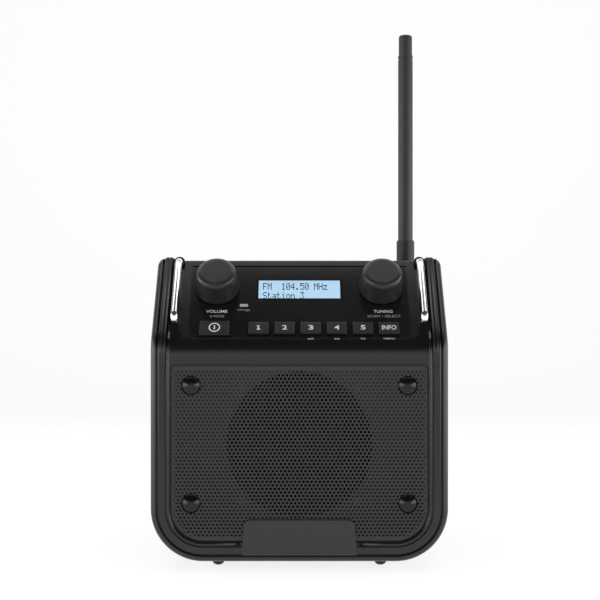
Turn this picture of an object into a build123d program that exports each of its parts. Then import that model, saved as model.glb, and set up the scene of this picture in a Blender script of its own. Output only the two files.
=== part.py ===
from build123d import *
import math
import os

# A portable jobsite radio. Every piece is drawn from the front plane of the bezel (Y = 0), the
# underside of the case (Z = 0) and the middle of the case (X = 0), in millimetres, with +Y to the
# rear. export() then moves it to the resting frame: origin on the ground under the middle.

# --- case and bezel ------------------------------------------------------------------------------
CASE_WIDTH = 236.8
CASE_DEPTH = 190.0
CHEEK_OVER = 2.6         # the cheeks' top, above the panel's top edge
TOP_FALL = 8.0           # how far the top drops towards the rear
BOTTOM_RADIUS = 41.9     # lower corners, seen from the front
TOP_EDGE_RADIUS = 7.9
REAR_EDGE_RADIUS = 6.0
CASE_WALL = 4.4
CASE_RIM = 5.5           # rounding of the case's front rim
RIM_RADIUS = 1.7         # and of the bezel's

SLOPE_ANGLE = 50.0       # the control panel leans back from horizontal by this
PANEL_RISE = 69.0        # from the kink, where slope and front plane would meet, to the panel's top
KINK_RADIUS = 24.0
PANEL_TOP = 240.9        # top edge of the control panel
CHEEK_RISE = 2.0         # the cheeks stand this far above the slope

GROOVE_WIDTH = 1.2       # between the case and the bezel
GROOVE_DEPTH = 3.5
BEZEL_GAP = 0.2          # behind that groove
BAND_WIDTH = 6.1         # outer band of the bezel, which becomes the cheek
LIP_GROOVE = 1.4         # between the band and the inner lip
LIP_GROOVE_DEPTH = 3.0
LIP_WIDTH = 2.8
LIP_ROUND = 1.0          # along the grille's pocket
PANEL_BACK = 6.0         # back of the bezel's front wall, from its surface
SKIRT_WALL = 2.5
SKIRT_DEPTH = 14.0
RIDGE_DEPTH = 8.3        # of the bezel's top ridge, behind the slope
RIDGE_WALL = 3.0
GASKET_THICK = 1.5
GASKET_WIDTH = 2.2
LEDGE_WIDTH = 4.5
LEDGE_THICK = 3.0
SEAL_DROP = 30.0         # the gasket runs up both sides to this far below the panel's top

# --- recess for the carrying hand ----------------------------------------------------------------
RECESS_SIDE = 12.8       # from the case's side
DECK_DEPTH = 40.0        # deck behind the recess
RECESS_DEPTH = 18.0      # below the panel's top edge
RECESS_WALL = 3.0
SEAM_GAP = 0.2
POCKET_SIDE = 4.0        # beside the grip
POCKET_STEP_FRONT = 8.6  # from the recess to the pocket
POCKET_STEP_REAR = 4.0
POCKET_DEPTH = 32.0
POCKET_RADIUS = 10.0
RECESS_RADIUS = 6.0

# --- handle ---------------------------------------------------------------------------------------
ROD_RADIUS = 3.1
ROD_SIDE = 17.9          # from the case's side
ROD_HEIGHT = 5.0         # centre above the slope
ROD_ROOT = 24.0          # along the slope, where the rod goes into the panel
ROD_TAIL = -13.0         # its hidden end, above (below) the slope
ROD_ROOT_BEND = 5.0
ROD_TURN_DROP = 4.1      # from the slope's top to where slope and leg would meet
ROD_BEND = 15.0
HANDLE_CORNER = 18.0
GRIP_DROP = 9.0          # below the panel's top edge
GRIP_RADIUS = 10.0
GRIP_SIDE = 42.5         # from the rod to the grip's end
GRIP_ROUND = 3.0
SLEEVE_RADIUS = 4.6
SLEEVE_GAP = 6.0         # from the sleeves' ends to the grip
FIT = 0.05               # between a bore and what is pushed into it
SLEEVE_START = 8.5       # along the leg, from where it would meet the slope
WEDGE_TOP = 20.0         # ramp below the rod's root: its high end, along the slope
WEDGE_HEIGHT = 4.6
WEDGE_HALF = 4.2
WEDGE_FOOT = 1.0
WEDGE_FOOT_OUT = 2.0
WEDGE_FOOT_IN = 9.0
NOTCH_REACH = 9.9        # in front of the slope's top
NOTCH_HALF = 5.1
NOTCH_DEPTH = 7.6
NUT_HEX = 5.0            # handle nuts, centre to flat
NUT_HEIGHT = 5.0

# --- grille, plate and baffle --------------------------------------------------------------------
GRILLE_THICK = 1.2
GRILLE_FRONT = 1.2
GRILLE_GAP = 1.3
GRILLE_LAP = 1.0         # of the sheet, inside its edge, before it reaches its seat
GRILLE_SEAT = 2.0        # width of that seat
GRILLE_HOLLOW = 4.4      # depth of the hollow behind the sheet and of the trench round its seat
GRILLE_DROP = 16.6       # below the kink
GRILLE_CORNER = 3.0
STUD_SIDE = 32.3
STUD_LOW = 46.4
STUD_DROP = 15.4         # from the grille's top
STUD_RADIUS = 7.8
STUD_HEIGHT = 4.2
STUD_SHANK = 2.5
STUD_LENGTH = 12.0
SCREW_BOSS_WALL = 2.5
SCREW_END = 0.5          # short of its hole
PLATE_THICK = 1.6
PLATE_LOW = 5.7
PLATE_HIGH = 33.8
PLATE_SIDE = 72.9        # from the case's side to the plate's foot
PLATE_TAPER = 1.9
PLATE_RADIUS = 5.2
PLATE_PAD_INSET = 2.0
PLATE_EDGE = 0.4

# --- speaker --------------------------------------------------------------------------------------
BAFFLE_RIM = 4.15        # from the grille's top to the opening behind it
CLOTH_THICK = 0.4
CLOTH_EDGE = 3.0         # of cloth and gasket, outside the opening
SPEAKER_GASKET = 1.0
FLANGE_EDGE = 10.0       # of flange, outside the opening
FLANGE_THICK = 1.5
FLANGE_SCREW_IN = 3.5    # from the flange's edge
FLANGE_SCREW_BITE = 2.6
FLANGE_BOSS = 3.2
FLANGE_LIP = 4.0         # of flange, inside the opening
BASKET_DEPTH = 36.0
BASKET_TAPER = 18.0      # from the flange's bore to the basket's rear
BASKET_WALL = 1.2
BASKET_WINDOW = 15.0
GAP_RADIUS = 13.6
SPIDER_DEPTH = 24.0
CONE_THICK = 0.6
ROLL_WIDTH = 8.0         # of the surround, from the cone to the flange
EDGE_GAP = 0.1           # between the cone and the surround
CONE_DEPTH = 20.0
COIL_RADIUS = 12.7
COIL_WALL = 0.6
COIL_REACH = 4.0         # behind the basket
SPIDER_EDGE = 0.8        # from the basket
YOKE_IN = 2.0            # inside the magnet's edge
CAP_RADIUS = 17.0
CAP_BALL = 24.0
CAP_RISE = 6.5
CAP_GAP = 0.2
MAGNET_IN = 14.0         # from the flange's bore
MAGNET_BORE = 4.0        # outside the gap's radius
MAGNET_THICK = 14.0
YOKE_THICK = 5.0
POLE_RADIUS = 11.8

# --- control panel -------------------------------------------------------------------------------
FASCIA_SIDE = 29.4       # from the case's side
FASCIA_LOW = 6.6
FASCIA_DROP = 7.2        # from the slope's top
FASCIA_RADIUS = 6.0
FASCIA_PROUD = 0.15
FASCIA_SEAT = 2.0
FASCIA_CLEAR = 0.25
FASCIA_SHADOW = 1.4      # gap above the fascia
FASCIA_EDGE = 0.3
WINDOW_SIDE = 33.8       # from a knob's middle
WINDOW_HEIGHT = 20.6
WINDOW_DROP = 23.5       # from the fascia's top to the window's middle
WINDOW_FRAME = 2.0
WINDOW_THICK = 1.2
WINDOW_SINK = 0.15
LCD_EARS = 6.5           # of its board, beside and above the window
LCD_TALL = 15.4
LCD_GLASS = 2.4
LCD_MARGIN = 3.5
LCD_GAP = 0.3
BOARD_TOP = -12.5        # height of the control board's upper face above the slope
BOARD_THICK = 1.6
BOARD_SIDE = 3.0         # inside the fascia's sides
BOARD_LOW = 8.0
BOARD_DROP = 3.9         # inside the fascia's top
BUTTON_PROUD = 3.5
BUTTON_TRAVEL = 1.0
BUTTON_CLEAR = 0.3
BUTTON_FLANGE = 1.0
BUTTON_ROW = 15.6
BUTTON_EDGE = 0.7
ROW_MARGIN = 9.2         # from the fascia's sides to the row of buttons
POWER_GAP = 15.0         # from the power button to the presets
POWER_WIDTH = 24.0
POWER_HEIGHT = 14.2
PRESET_GAP = 4.45        # between presets
PRESET_HEIGHT = 11.6
PRESET_COUNT = 6         # five presets and the info button
MAT_THICK = 1.2
MAT_MARGIN = 2.2
DOME_GAP = 0.1
LED_SIDE = 22.2          # from the volume knob's middle
LED_DROP = 18.4          # from the knobs' middle
LED_WIDTH = 6.5
LED_HEIGHT = 2.8
LED_CHIP = 1.0
LED_CLEAR = 0.1
LED_PROUD = 0.2

# --- knobs and encoders --------------------------------------------------------------------------
KNOB_SIDE = 21.7         # from the fascia's side
KNOB_DROP = 23.4         # from the fascia's top
KNOB_BASE = 18.3
KNOB_TOP = 15.6
KNOB_HEIGHT = 21.5
KNOB_GAP = 1.2           # from the fascia to the knob at rest
KNOB_SKIN = 2.4
KNOB_HUB = 5.6
KNOB_ROUND = 4.2
KNOB_CROWN = 4.9         # solid top, above the shaft
KNOB_EDGE = 0.6
SHAFT_RADIUS = 3.0
RUNNING_FIT = 0.05
BUSH_RADIUS = 3.9
BUSH_TOP = 0.0
ENCODER_SIZE = 13.0
ENCODER_TOP = -6.3
PLUNGER_RADIUS = 3.4
PLUNGER_THICK = 1.4
PLUNGER_TOP = -8.6
ENCODER_FLOOR = 1.2

# --- antenna --------------------------------------------------------------------------------------
ANTENNA_SIDE = 20.4      # from the case's side
ANTENNA_REAR = 22.0      # from the rear
DECK_BOSS_RISE = 0.65    # above the deck
DECK_BOSS_RADIUS = 9.5
JACK_RADIUS = 4.9
JACK_CLEAR = 0.2
NUT_RADIUS = 7.6
NUT_THICK = 2.0
JACK_RISE = 8.0
JACK_DROP = 9.0
COLLAR_RADIUS = 8.2
COLLAR_LENGTH = 21.6
MAST_RADIUS = 6.75
MAST_LENGTH = 171.5
MAST_SPIGOT = 6.0
MAST_CORE = 3.0
TIP_RADIUS = 6.15
TIP_LENGTH = 17.7
ANTENNA_GROOVE = 0.6
GROOVE_TALL = 1.4
GROOVE_STEP = 4.0
TIP_ROUND = 2.5
COLLAR_CHAMFER = 1.4
COLLAR_GAP = 0.3
DECK_BOSS_DEPTH = 11.0

# --- rear: battery bay, sockets, feet ------------------------------------------------------------
CELL_RADIUS = 13.0
CELL_LENGTH = 50.0
CELLS_PER_ROW = 3
CELL_ROWS = 2
CELL_GAP = 0.5
CELL_CLEAR = 0.3
CELL_NUB = 1.5
CELL_NUB_RADIUS = 4.0
CELL_EDGE = 1.0
BAY_LOW = 24.9
BAY_END = 5.0            # beside each end cell, for the contacts
BAY_WALL = 2.5
COVER_THICK = 4.0
COVER_SIDE = 6.0
COVER_UNDER = 8.0
COVER_OVER = 18.0
COVER_CLEAR = 0.4
COVER_SEAT = 3.0         # case wall behind the cover
SEAL_THICK = 1.0
SEAL_WIDTH = 3.0
COVER_RADIUS = 6.0
COVER_EDGE = 0.6
THUMB_SIDE = 31.0        # from the cover's side
THUMB_RISE = 10.0        # above the bay
THUMB_RADIUS = 6.0
THUMB_SINK = 2.0
THUMB_PROUD = 2.2
THUMB_SHANK = 2.0
THUMB_NECK = 9.0
THUMB_BOSS = 4.5
COIN_SLOT = 1.4
CONTACT_THICK = 0.8
CONTACT_SIZE = 18.0
BOW_FLAT = 1.5           # half the flat that touches the cell
BOW_FOOT = 2.0
SOCKET_RISE = 26.9       # above the battery cover
DC_SIDE = 56.4           # from the case's side
SOCKET_PITCH = 18.0
DC_BORE = 2.85
DC_RADIUS = 4.6
AUX_BORE = 1.8
AUX_RADIUS = 3.6
SOCKET_LENGTH = 14.0
SOCKET_END = 1.5
DC_PIN = 1.0
SOCKET_FLOOR = 3.0       # depth of the flap's pocket
SOCKET_WALL = 4.0
PATCH_EDGE = 1.5
FLAP_WIDTH = 46.0
FLAP_HEIGHT = 22.0
FLAP_THICK = 2.2
FLAP_SINK = 0.3
FLAP_CLEAR = 0.5
FLAP_PIN = 1.0
FLAP_BARREL = 2.0
FLAP_AXIS = 2.0          # above the flap's plate
FLAP_CORNER = 3.0
PIN_GRIP = 2.5
JACK_BOARD_THICK = 1.6
JACK_BOARD_MARGIN = 5.0
FOOT_HEIGHT = 5.6
FOOT_RADIUS = 5.0
FOOT_ROUND = 4.0
FOOT_SIDE = 53.0         # from the case's side
FOOT_FRONT = 20.0
FOOT_BACK = 22.0         # from the rear
FOOT_PLUG = 2.5
PILLAR_GAP = 0.6         # from the battery cover's rim and the flap's patch
CASE_SCREW_LOW = 58.9
CASE_SCREW_RADIUS = 2.0
CASE_SCREW_HEAD = 3.8
CASE_SCREW_TALL = 3.0
PILLAR_RADIUS = 6.0
PILLAR_FRONT = 26.0
CASE_SCREW_TIP = 10.0
HEAD_SEAT = 60.0

# --- boards ---------------------------------------------------------------------------------------
MAIN_BOARD_Z = 12.9
MAIN_BOARD_SIDE = 60.4   # from the case's side
MAIN_BOARD_DEPTH = 64.0
MAIN_BOARD_GAP = 13.7    # from the battery bay
BOARD_SCREW = 1.5
BOARD_POST = 3.5
BOARD_BOSS_SIDE = 5.0    # inside the board's edges
BOARD_BOSS_LOW = 36.0
SCREW_CLEAR = 0.2
HEADER = 2.5
MAT_SIDE = 6.0
SHIELD_IN = 12.0
SHIELD_WIDE = 40.0
SHIELD_DEEP = 34.0
SHIELD_TALL = 7.0
SHIELD_WALL = 0.6
SINK_X = 8.0
SINK_WIDE = 34.0
SINK_FIN = 1.6
SINK_FINS = 7
SINK_BASE = 3.0
SINK_TALL = 22.0
CAN_IN = 8.0
CAN_RADIUS = 4.0
CAN_TALL = 11.0
CAN_PITCH = 14.0
RIBBON_SIDE = 30.0       # from the main board's side
RIBBON_EDGE = 6.0        # from the main board's front edge
RIBBON_HALF = 9.0
RIBBON_THICK = 0.8
RIBBON_IN = 6.0
RIBBON_LEAD = 14.0
RIBBON_BEND = 10.0

# Worked out from the sizes above.
LEAN = math.radians(SLOPE_ANGLE)
CASE_HALF = CASE_WIDTH / 2
KINK_Z = PANEL_TOP - PANEL_RISE
CHEEK_TOP = PANEL_TOP + CHEEK_OVER
PANEL_PEAK = PANEL_RISE / math.tan(LEAN)
PANEL_LONG = PANEL_RISE / math.sin(LEAN)
CHEEK_PEAK = (PANEL_RISE + CHEEK_OVER - CHEEK_RISE / math.cos(LEAN)) / math.tan(LEAN)
RIDGE_REAR = PANEL_PEAK + RIDGE_DEPTH
SEAL_TOP = PANEL_TOP - SEAL_DROP
RECESS_HALF = CASE_HALF - RECESS_SIDE
RECESS_FRONT = RIDGE_REAR + SEAM_GAP + RECESS_WALL
RECESS_REAR = CASE_DEPTH - DECK_DEPTH
RECESS_FLOOR = PANEL_TOP - RECESS_DEPTH
POCKET_FRONT = RECESS_FRONT + POCKET_STEP_FRONT
POCKET_REAR = RECESS_REAR - POCKET_STEP_REAR
POCKET_FLOOR = RECESS_FLOOR - POCKET_DEPTH
ROD_X = CASE_HALF - ROD_SIDE
ROD_TURN = PANEL_LONG - ROD_TURN_DROP
GRIP_Y = (POCKET_FRONT + POCKET_REAR) / 2
GRIP_Z = PANEL_TOP - GRIP_DROP
GRIP_HALF = ROD_X - GRIP_SIDE
POCKET_HALF = GRIP_HALF + POCKET_SIDE
SLEEVE_END = GRIP_HALF + SLEEVE_GAP
NOTCH_FRONT = PANEL_PEAK - NOTCH_REACH
NOTCH_FLOOR = PANEL_TOP - NOTCH_DEPTH
GRILLE_TOP = KINK_Z - GRILLE_DROP
STUD_X = CASE_HALF - STUD_SIDE
PLATE_HALF_BOTTOM = CASE_HALF - PLATE_SIDE
PLATE_HALF_TOP = PLATE_HALF_BOTTOM - PLATE_TAPER
STUD_HIGH = GRILLE_TOP - STUD_DROP
SPEAKER_Z = (STUD_LOW + STUD_HIGH) / 2
BAFFLE_RADIUS = GRILLE_TOP - SPEAKER_Z - BAFFLE_RIM
CLOTH_RADIUS = BAFFLE_RADIUS + CLOTH_EDGE
FLANGE_RADIUS = BAFFLE_RADIUS + FLANGE_EDGE
FLANGE_SCREW_RADIUS = FLANGE_RADIUS - FLANGE_SCREW_IN
FLANGE_INNER = BAFFLE_RADIUS - FLANGE_LIP
CONE_OUTER = FLANGE_INNER - ROLL_WIDTH
BASKET_REAR_RADIUS = FLANGE_INNER - BASKET_TAPER
MAGNET_RADIUS = FLANGE_INNER - MAGNET_IN
FASCIA_HALF = CASE_HALF - FASCIA_SIDE
FASCIA_HIGH = PANEL_LONG - FASCIA_DROP
BOARD_HALF = FASCIA_HALF - BOARD_SIDE
BOARD_HIGH = FASCIA_HIGH - BOARD_DROP
BOARD_BOSS_X = BOARD_HALF - BOARD_BOSS_SIDE
BOARD_BOSS_HIGH = BOARD_HIGH - BOARD_BOSS_SIDE
KNOB_X = FASCIA_HALF - KNOB_SIDE
KNOB_S = FASCIA_HIGH - KNOB_DROP
LED_X = LED_SIDE - KNOB_X
LED_S = KNOB_S - LED_DROP
WINDOW_WIDTH = 2 * (KNOB_X - WINDOW_SIDE)
WINDOW_MID = FASCIA_HIGH - WINDOW_DROP
LCD_WIDTH = WINDOW_WIDTH + 2 * LCD_EARS
LCD_HEIGHT = WINDOW_HEIGHT + LCD_TALL
POWER_X = ROW_MARGIN + POWER_WIDTH / 2 - FASCIA_HALF
PRESET_START = ROW_MARGIN + POWER_WIDTH + POWER_GAP - FASCIA_HALF
PRESET_PITCH = (FASCIA_HALF - ROW_MARGIN - PRESET_START + PRESET_GAP) / PRESET_COUNT
PRESET_WIDTH = PRESET_PITCH - PRESET_GAP
PRESET_FIRST = PRESET_START + PRESET_WIDTH / 2
BEZEL_INSET = CASE_WALL + GROOVE_WIDTH
SKIRT_INSET = CASE_WALL + BEZEL_GAP
BAND_INNER = BEZEL_INSET + BAND_WIDTH
CORE_INSET = BAND_INNER + LIP_GROOVE
GRILLE_POCKET = CORE_INSET + LIP_WIDTH
GRILLE_INSET = GRILLE_POCKET + GRILLE_GAP
GRILLE_BACK = GRILLE_FRONT + GRILLE_THICK
LCD_BODY_WIDTH = WINDOW_WIDTH + 2 * LCD_MARGIN
LCD_BODY_HEIGHT = WINDOW_HEIGHT + 2 * LCD_MARGIN
WINDOW_SEAT = FASCIA_PROUD - WINDOW_SINK - WINDOW_THICK
SHAFT_TOP = KNOB_HEIGHT - KNOB_CROWN
BAY_HALF = CELLS_PER_ROW * CELL_LENGTH / 2 + BAY_END
BAY_HIGH = BAY_LOW + 2 * CELL_CLEAR + CELL_ROWS * 2 * CELL_RADIUS + (CELL_ROWS - 1) * CELL_GAP
COVER_SEAT_Y = CASE_DEPTH - COVER_THICK - SEAL_THICK
CELL_Y = COVER_SEAT_Y - CELL_GAP - CELL_RADIUS
BAY_FRONT = CELL_Y - CELL_RADIUS - CELL_CLEAR
COVER_HALF = BAY_HALF + COVER_SIDE
COVER_LOW = BAY_LOW - COVER_UNDER
COVER_HIGH = BAY_HIGH + COVER_OVER
THUMB_Z = BAY_HIGH + THUMB_RISE
THUMB_X = COVER_HALF - THUMB_SIDE
SOCKET_Z = COVER_HIGH + SOCKET_RISE
DC_X = DC_SIDE - CASE_HALF
AUX_X = DC_X - SOCKET_PITCH
THUMB_TIP = CASE_DEPTH - THUMB_SINK - THUMB_NECK
SOCKET_FACE = CASE_DEPTH - SOCKET_FLOOR
FLAP_MID = (DC_X + AUX_X) / 2
FLAP_LOW = SOCKET_Z - FLAP_HEIGHT / 2
FLAP_AXIS_Z = SOCKET_Z + FLAP_HEIGHT / 2 + FLAP_AXIS
FLAP_AXIS_Y = CASE_DEPTH - FLAP_BARREL
FLANGE_FRONT = PANEL_BACK + CLOTH_THICK + SPEAKER_GASKET
CASE_SCREW_X = COVER_HALF + COVER_CLEAR + COVER_SEAT + PILLAR_RADIUS + PILLAR_GAP
PATCH_TOP = FLAP_AXIS_Z + FLAP_BARREL + FLAP_CLEAR + PIN_GRIP + PATCH_EDGE
CASE_SCREW_HIGH = PATCH_TOP + PILLAR_RADIUS + PILLAR_GAP
ANTENNA_X = CASE_HALF - ANTENNA_SIDE
ANTENNA_Y = CASE_DEPTH - ANTENNA_REAR
DECK_BOSS_TOP = CHEEK_TOP - TOP_FALL * (ANTENNA_Y - CHEEK_PEAK) / CASE_DEPTH + DECK_BOSS_RISE
COLLAR_LOW = DECK_BOSS_TOP + NUT_THICK + COLLAR_GAP
COLLAR_TOP = COLLAR_LOW + COLLAR_LENGTH
MAST_TOP = COLLAR_TOP + MAST_LENGTH
TIP_TOP = MAST_TOP + TIP_LENGTH
FOOT_X = CASE_HALF - FOOT_SIDE
FOOT_REAR = CASE_DEPTH - FOOT_BACK
MAIN_BOARD_HALF = CASE_HALF - MAIN_BOARD_SIDE
MAIN_BOARD_REAR = BAY_FRONT - BAY_WALL - MAIN_BOARD_GAP
MAIN_BOARD_FRONT = MAIN_BOARD_REAR - MAIN_BOARD_DEPTH
RIBBON_X = MAIN_BOARD_HALF - RIBBON_SIDE
RIBBON_Y = MAIN_BOARD_FRONT + RIBBON_EDGE
SLOPE = Plane(origin=(0, 0, KINK_Z), x_dir=(1, 0, 0), z_dir=(0, -math.sin(LEAN), math.cos(LEAN)))
FRONT_MOST = min(GRILLE_FRONT - STUD_HEIGHT, -PLATE_THICK)
REAR_MOST = CASE_DEPTH + THUMB_PROUD
SLOPE_AXIS = Axis((0, 0, KINK_Z), tuple(SLOPE.z_dir))
REST = Location((0, -(FRONT_MOST + REAR_MOST) / 2, FOOT_HEIGHT))
FAR = 600.0


def export(node, *solids):
    """Write one piece, or one group of like pieces, in the resting frame."""
    moved = [REST * solid for solid in solids]
    shape = moved[0] if len(moved) == 1 else Compound(children=moved)
    export_step(shape, f"parts/{node}.step")


def block(x0, x1, y0, y1, z0, z1):
    """A box between two corners."""
    return Pos((x0 + x1) / 2, (y0 + y1) / 2, (z0 + z1) / 2) * Box(x1 - x0, y1 - y0, z1 - z0)


def soft_block(x0, x1, y0, y1, z0, z1, radius, along=Axis.Z):
    """A box with the four edges along one axis rounded."""
    solid = block(x0, x1, y0, y1, z0, z1)
    return fillet(solid.edges().filter_by(along), radius)


def bar_y(x, z, radius, y0, y1):
    """A round bar along Y."""
    return Pos(x, (y0 + y1) / 2, z) * Rot(90, 0, 0) * Cylinder(radius, y1 - y0)


def bar_x(y, z, radius, x0, x1):
    """A round bar along X."""
    return Pos((x0 + x1) / 2, y, z) * Rot(0, 90, 0) * Cylinder(radius, x1 - x0)


def bar_z(x, y, radius, z0, z1):
    """An upright round bar."""
    return Pos(x, y, (z0 + z1) / 2) * Cylinder(radius, z1 - z0)


def on_slope(solid):
    """Take a solid drawn with X across, Y up the slope and Z out of it to its place."""
    return SLOPE.location * solid


def slope_block(x0, x1, s0, s1, h0, h1):
    """A box on the slope: across, along and above it."""
    return on_slope(block(x0, x1, s0, s1, h0, h1))


def slope_bar(x, s, radius, h0, h1):
    """A round bar square to the slope."""
    return on_slope(bar_z(x, s, radius, h0, h1))


def outline(inset, top=FAR, top_radius=0.0):
    """The front outline drawn in by inset: rounded lower corners, straight sides up to top."""
    half = CASE_HALF - inset
    plate = Pos(0, (inset + top) / 2) * Rectangle(2 * half, top - inset)
    plate = fillet(plate.vertices().sort_by(Axis.Y)[:2], max(BOTTOM_RADIUS - inset, 1.0))
    return fillet(plate.vertices().sort_by(Axis.Y)[-2:], top_radius) if top_radius else plate


def prism(inset, y0=-FAR, y1=FAR, top=FAR, top_radius=0.0):
    """The outline drawn in by inset, run from y0 to y1."""
    front = Plane(origin=(0, y0, 0), x_dir=(1, 0, 0), z_dir=(0, -1, 0))
    return extrude(front * outline(inset, top, top_radius), -(y1 - y0))


def side_profile(inset, rise, top):
    """The side view: front plane, slope, falling top, rear and underside, all drawn in by inset."""
    offset = (rise - inset) / math.cos(LEAN)
    kink = KINK_Z + offset + inset * math.tan(LEAN)
    peak = top - inset
    peak_y = (peak - KINK_Z - offset) / math.tan(LEAN)
    rear = CASE_DEPTH - inset
    fall = TOP_FALL * (rear - peak_y) / CASE_DEPTH
    points = [(inset, inset), (inset, kink), (peak_y, peak), (rear, peak - fall), (rear, inset)]
    face = make_face(Polyline(*points, close=True))
    corner = face.vertices().sort_by_distance((inset, kink, 0))[0]
    return fillet(corner, max(KINK_RADIUS - inset + rise, 1.0))


def form(side_inset, depth_inset=0.0, rise=0.0, top=PANEL_TOP):
    """The body's form: the front outline and the side view, each drawn in by its own inset."""
    side = extrude(Plane.YZ * side_profile(depth_inset, rise, top), CASE_WIDTH, both=True)
    return side & prism(side_inset)


def front_rim(solid):
    """The edges round the front, the slope and the top ridge, where they meet the sides."""
    faces = [face for face in solid.faces() if face.normal_at().Y < -0.5]
    edges = [edge for face in faces for edge in face.edges()]
    return [edge for edge in edges if edges.count(edge) == 1]


def long_edges(solid):
    """The two long top edges of the sides."""
    sides = [face for face in solid.faces() if abs(face.normal_at().X) > 0.99]
    tops = [face for face in solid.faces() if face.normal_at().Z > 0.9]
    return [edge for edge in sides[0].edges() + sides[1].edges() if edge in tops[0].edges()]


def both_sides(solid):
    """The solid and its mirror image."""
    return [solid, mirror(solid, Plane.YZ)]


# --- shells ---------------------------------------------------------------------------------------
def rounded_form(side_inset, rim):
    """The cheeks' form, with its long top edges and its front rim rounded."""
    solid = form(side_inset, 0.0, CHEEK_RISE, CHEEK_TOP)
    solid = fillet(long_edges(solid), TOP_EDGE_RADIUS - side_inset)
    return fillet(front_rim(solid), rim)


def behind(depth):
    """Everything deeper than depth from the cheeks' front and slope, open below."""
    low = block(-FAR, FAR, depth, RIDGE_REAR, -FAR, KINK_Z / 2)
    high = form(-1.0, depth, CHEEK_RISE, CHEEK_TOP) & block(-FAR, FAR, -FAR, RIDGE_REAR, 0, FAR)
    return low + high


def seal_strip(inset, width, depth, thick):
    """A strip that runs round the bottom and up both sides, depth behind the cheeks' surface."""
    ring = prism(inset, top=SEAL_TOP) - prism(inset + width)
    return ring & (behind(depth) - behind(depth + thick))


def recess_block(grow):
    """The recess that the handle crosses, grown by a wall."""
    solid = block(-RECESS_HALF - grow, RECESS_HALF + grow, RECESS_FRONT - grow, RECESS_REAR + grow,
                  RECESS_FLOOR - grow, FAR)
    rear_edges = solid.edges().filter_by(Axis.Z).sort_by(Axis.Y)[-2:]
    return fillet(rear_edges, RECESS_RADIUS + grow)


def pocket_block(grow):
    """The deeper pocket for the fingers, grown by a wall."""
    return soft_block(-POCKET_HALF - grow, POCKET_HALF + grow, POCKET_FRONT - grow, POCKET_REAR + grow,
                      POCKET_FLOOR - grow, RECESS_FLOOR + 1.0, POCKET_RADIUS + grow)


def notches(outer):
    """The two notches that let the sleeved rods over the ridge, out to a wall at outer."""
    notch = block(ROD_X - NOTCH_HALF, outer, NOTCH_FRONT, RECESS_FRONT + 0.1, NOTCH_FLOOR, FAR)
    return both_sides(notch)


def case_screw_spots():
    return [(x, z) for x in (-CASE_SCREW_X, CASE_SCREW_X) for z in (CASE_SCREW_LOW, CASE_SCREW_HIGH)]


def board_spots():
    """Where the main board stands on the case."""
    inset = BOARD_POST + 2.0
    return [(x, y) for x in (-MAIN_BOARD_HALF + inset, MAIN_BOARD_HALF - inset)
            for y in (MAIN_BOARD_FRONT + inset, MAIN_BOARD_REAR - inset)]


def foot_spots():
    return [(x, y) for x in (-FOOT_X, FOOT_X) for y in (FOOT_FRONT, FOOT_REAR)]


def battery_bay():
    """The walls round the cells and the thick rim that the cover closes on."""
    front = BAY_FRONT - BAY_WALL
    walls = block(-BAY_HALF - BAY_WALL, BAY_HALF + BAY_WALL, front, COVER_SEAT_Y,
                  BAY_LOW - BAY_WALL, BAY_HIGH + BAY_WALL)
    grow = COVER_CLEAR + COVER_SEAT
    rim = block(-COVER_HALF - grow, COVER_HALF + grow, COVER_SEAT_Y - COVER_SEAT, CASE_DEPTH,
                COVER_LOW - grow, COVER_HIGH + grow)
    solid = walls + rim
    for x in (-THUMB_X, THUMB_X):
        solid += bar_y(x, THUMB_Z, THUMB_BOSS, THUMB_TIP - BAY_WALL, COVER_SEAT_Y)
    return solid


def battery_room():
    """What is cut out of the case for the cells, the cover and its screws."""
    solid = block(-BAY_HALF, BAY_HALF, BAY_FRONT, CASE_DEPTH, BAY_LOW, BAY_HIGH)
    solid += cover_plate(COVER_CLEAR, COVER_SEAT_Y, CASE_DEPTH + 1.0)
    for x in (-THUMB_X, THUMB_X):
        solid += bar_y(x, THUMB_Z, THUMB_SHANK + RUNNING_FIT, THUMB_TIP - 0.5, CASE_DEPTH)
    return solid


def cover_plate(grow, y0, y1):
    return soft_block(-COVER_HALF - grow, COVER_HALF + grow, y0, y1, COVER_LOW - grow,
                      COVER_HIGH + grow, COVER_RADIUS + grow, Axis.Y)


def socket_rim():
    """Thick patch of the rear wall, for the socket flap's pocket."""
    grow = FLAP_CLEAR + PIN_GRIP + PATCH_EDGE
    half = FLAP_WIDTH / 2 + grow
    return block(FLAP_MID - half, FLAP_MID + half, SOCKET_FACE - SOCKET_WALL, CASE_DEPTH,
                 FLAP_LOW - grow, FLAP_AXIS_Z + FLAP_BARREL + grow)


def socket_room():
    """What is cut out of that patch: the flap's pocket, its pin and the two socket holes."""
    half = FLAP_WIDTH / 2 + FLAP_CLEAR
    top = FLAP_AXIS_Z + FLAP_BARREL + 2 * FLAP_CLEAR
    solid = block(FLAP_MID - half, FLAP_MID + half, SOCKET_FACE, CASE_DEPTH + 1.0,
                  FLAP_LOW - FLAP_CLEAR, top)
    solid += bar_x(FLAP_AXIS_Y, FLAP_AXIS_Z, FLAP_BARREL + FLAP_CLEAR, FLAP_MID - half, FLAP_MID + half)
    reach = half + PIN_GRIP
    solid += bar_x(FLAP_AXIS_Y, FLAP_AXIS_Z, FLAP_PIN + FIT, FLAP_MID - reach, FLAP_MID + reach)
    for x, radius in ((DC_X, DC_RADIUS), (AUX_X, AUX_RADIUS)):
        solid += bar_y(x, SOCKET_Z, radius + FIT, SOCKET_FACE - SOCKET_WALL - 1.0, SOCKET_FACE)
    return solid


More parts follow.
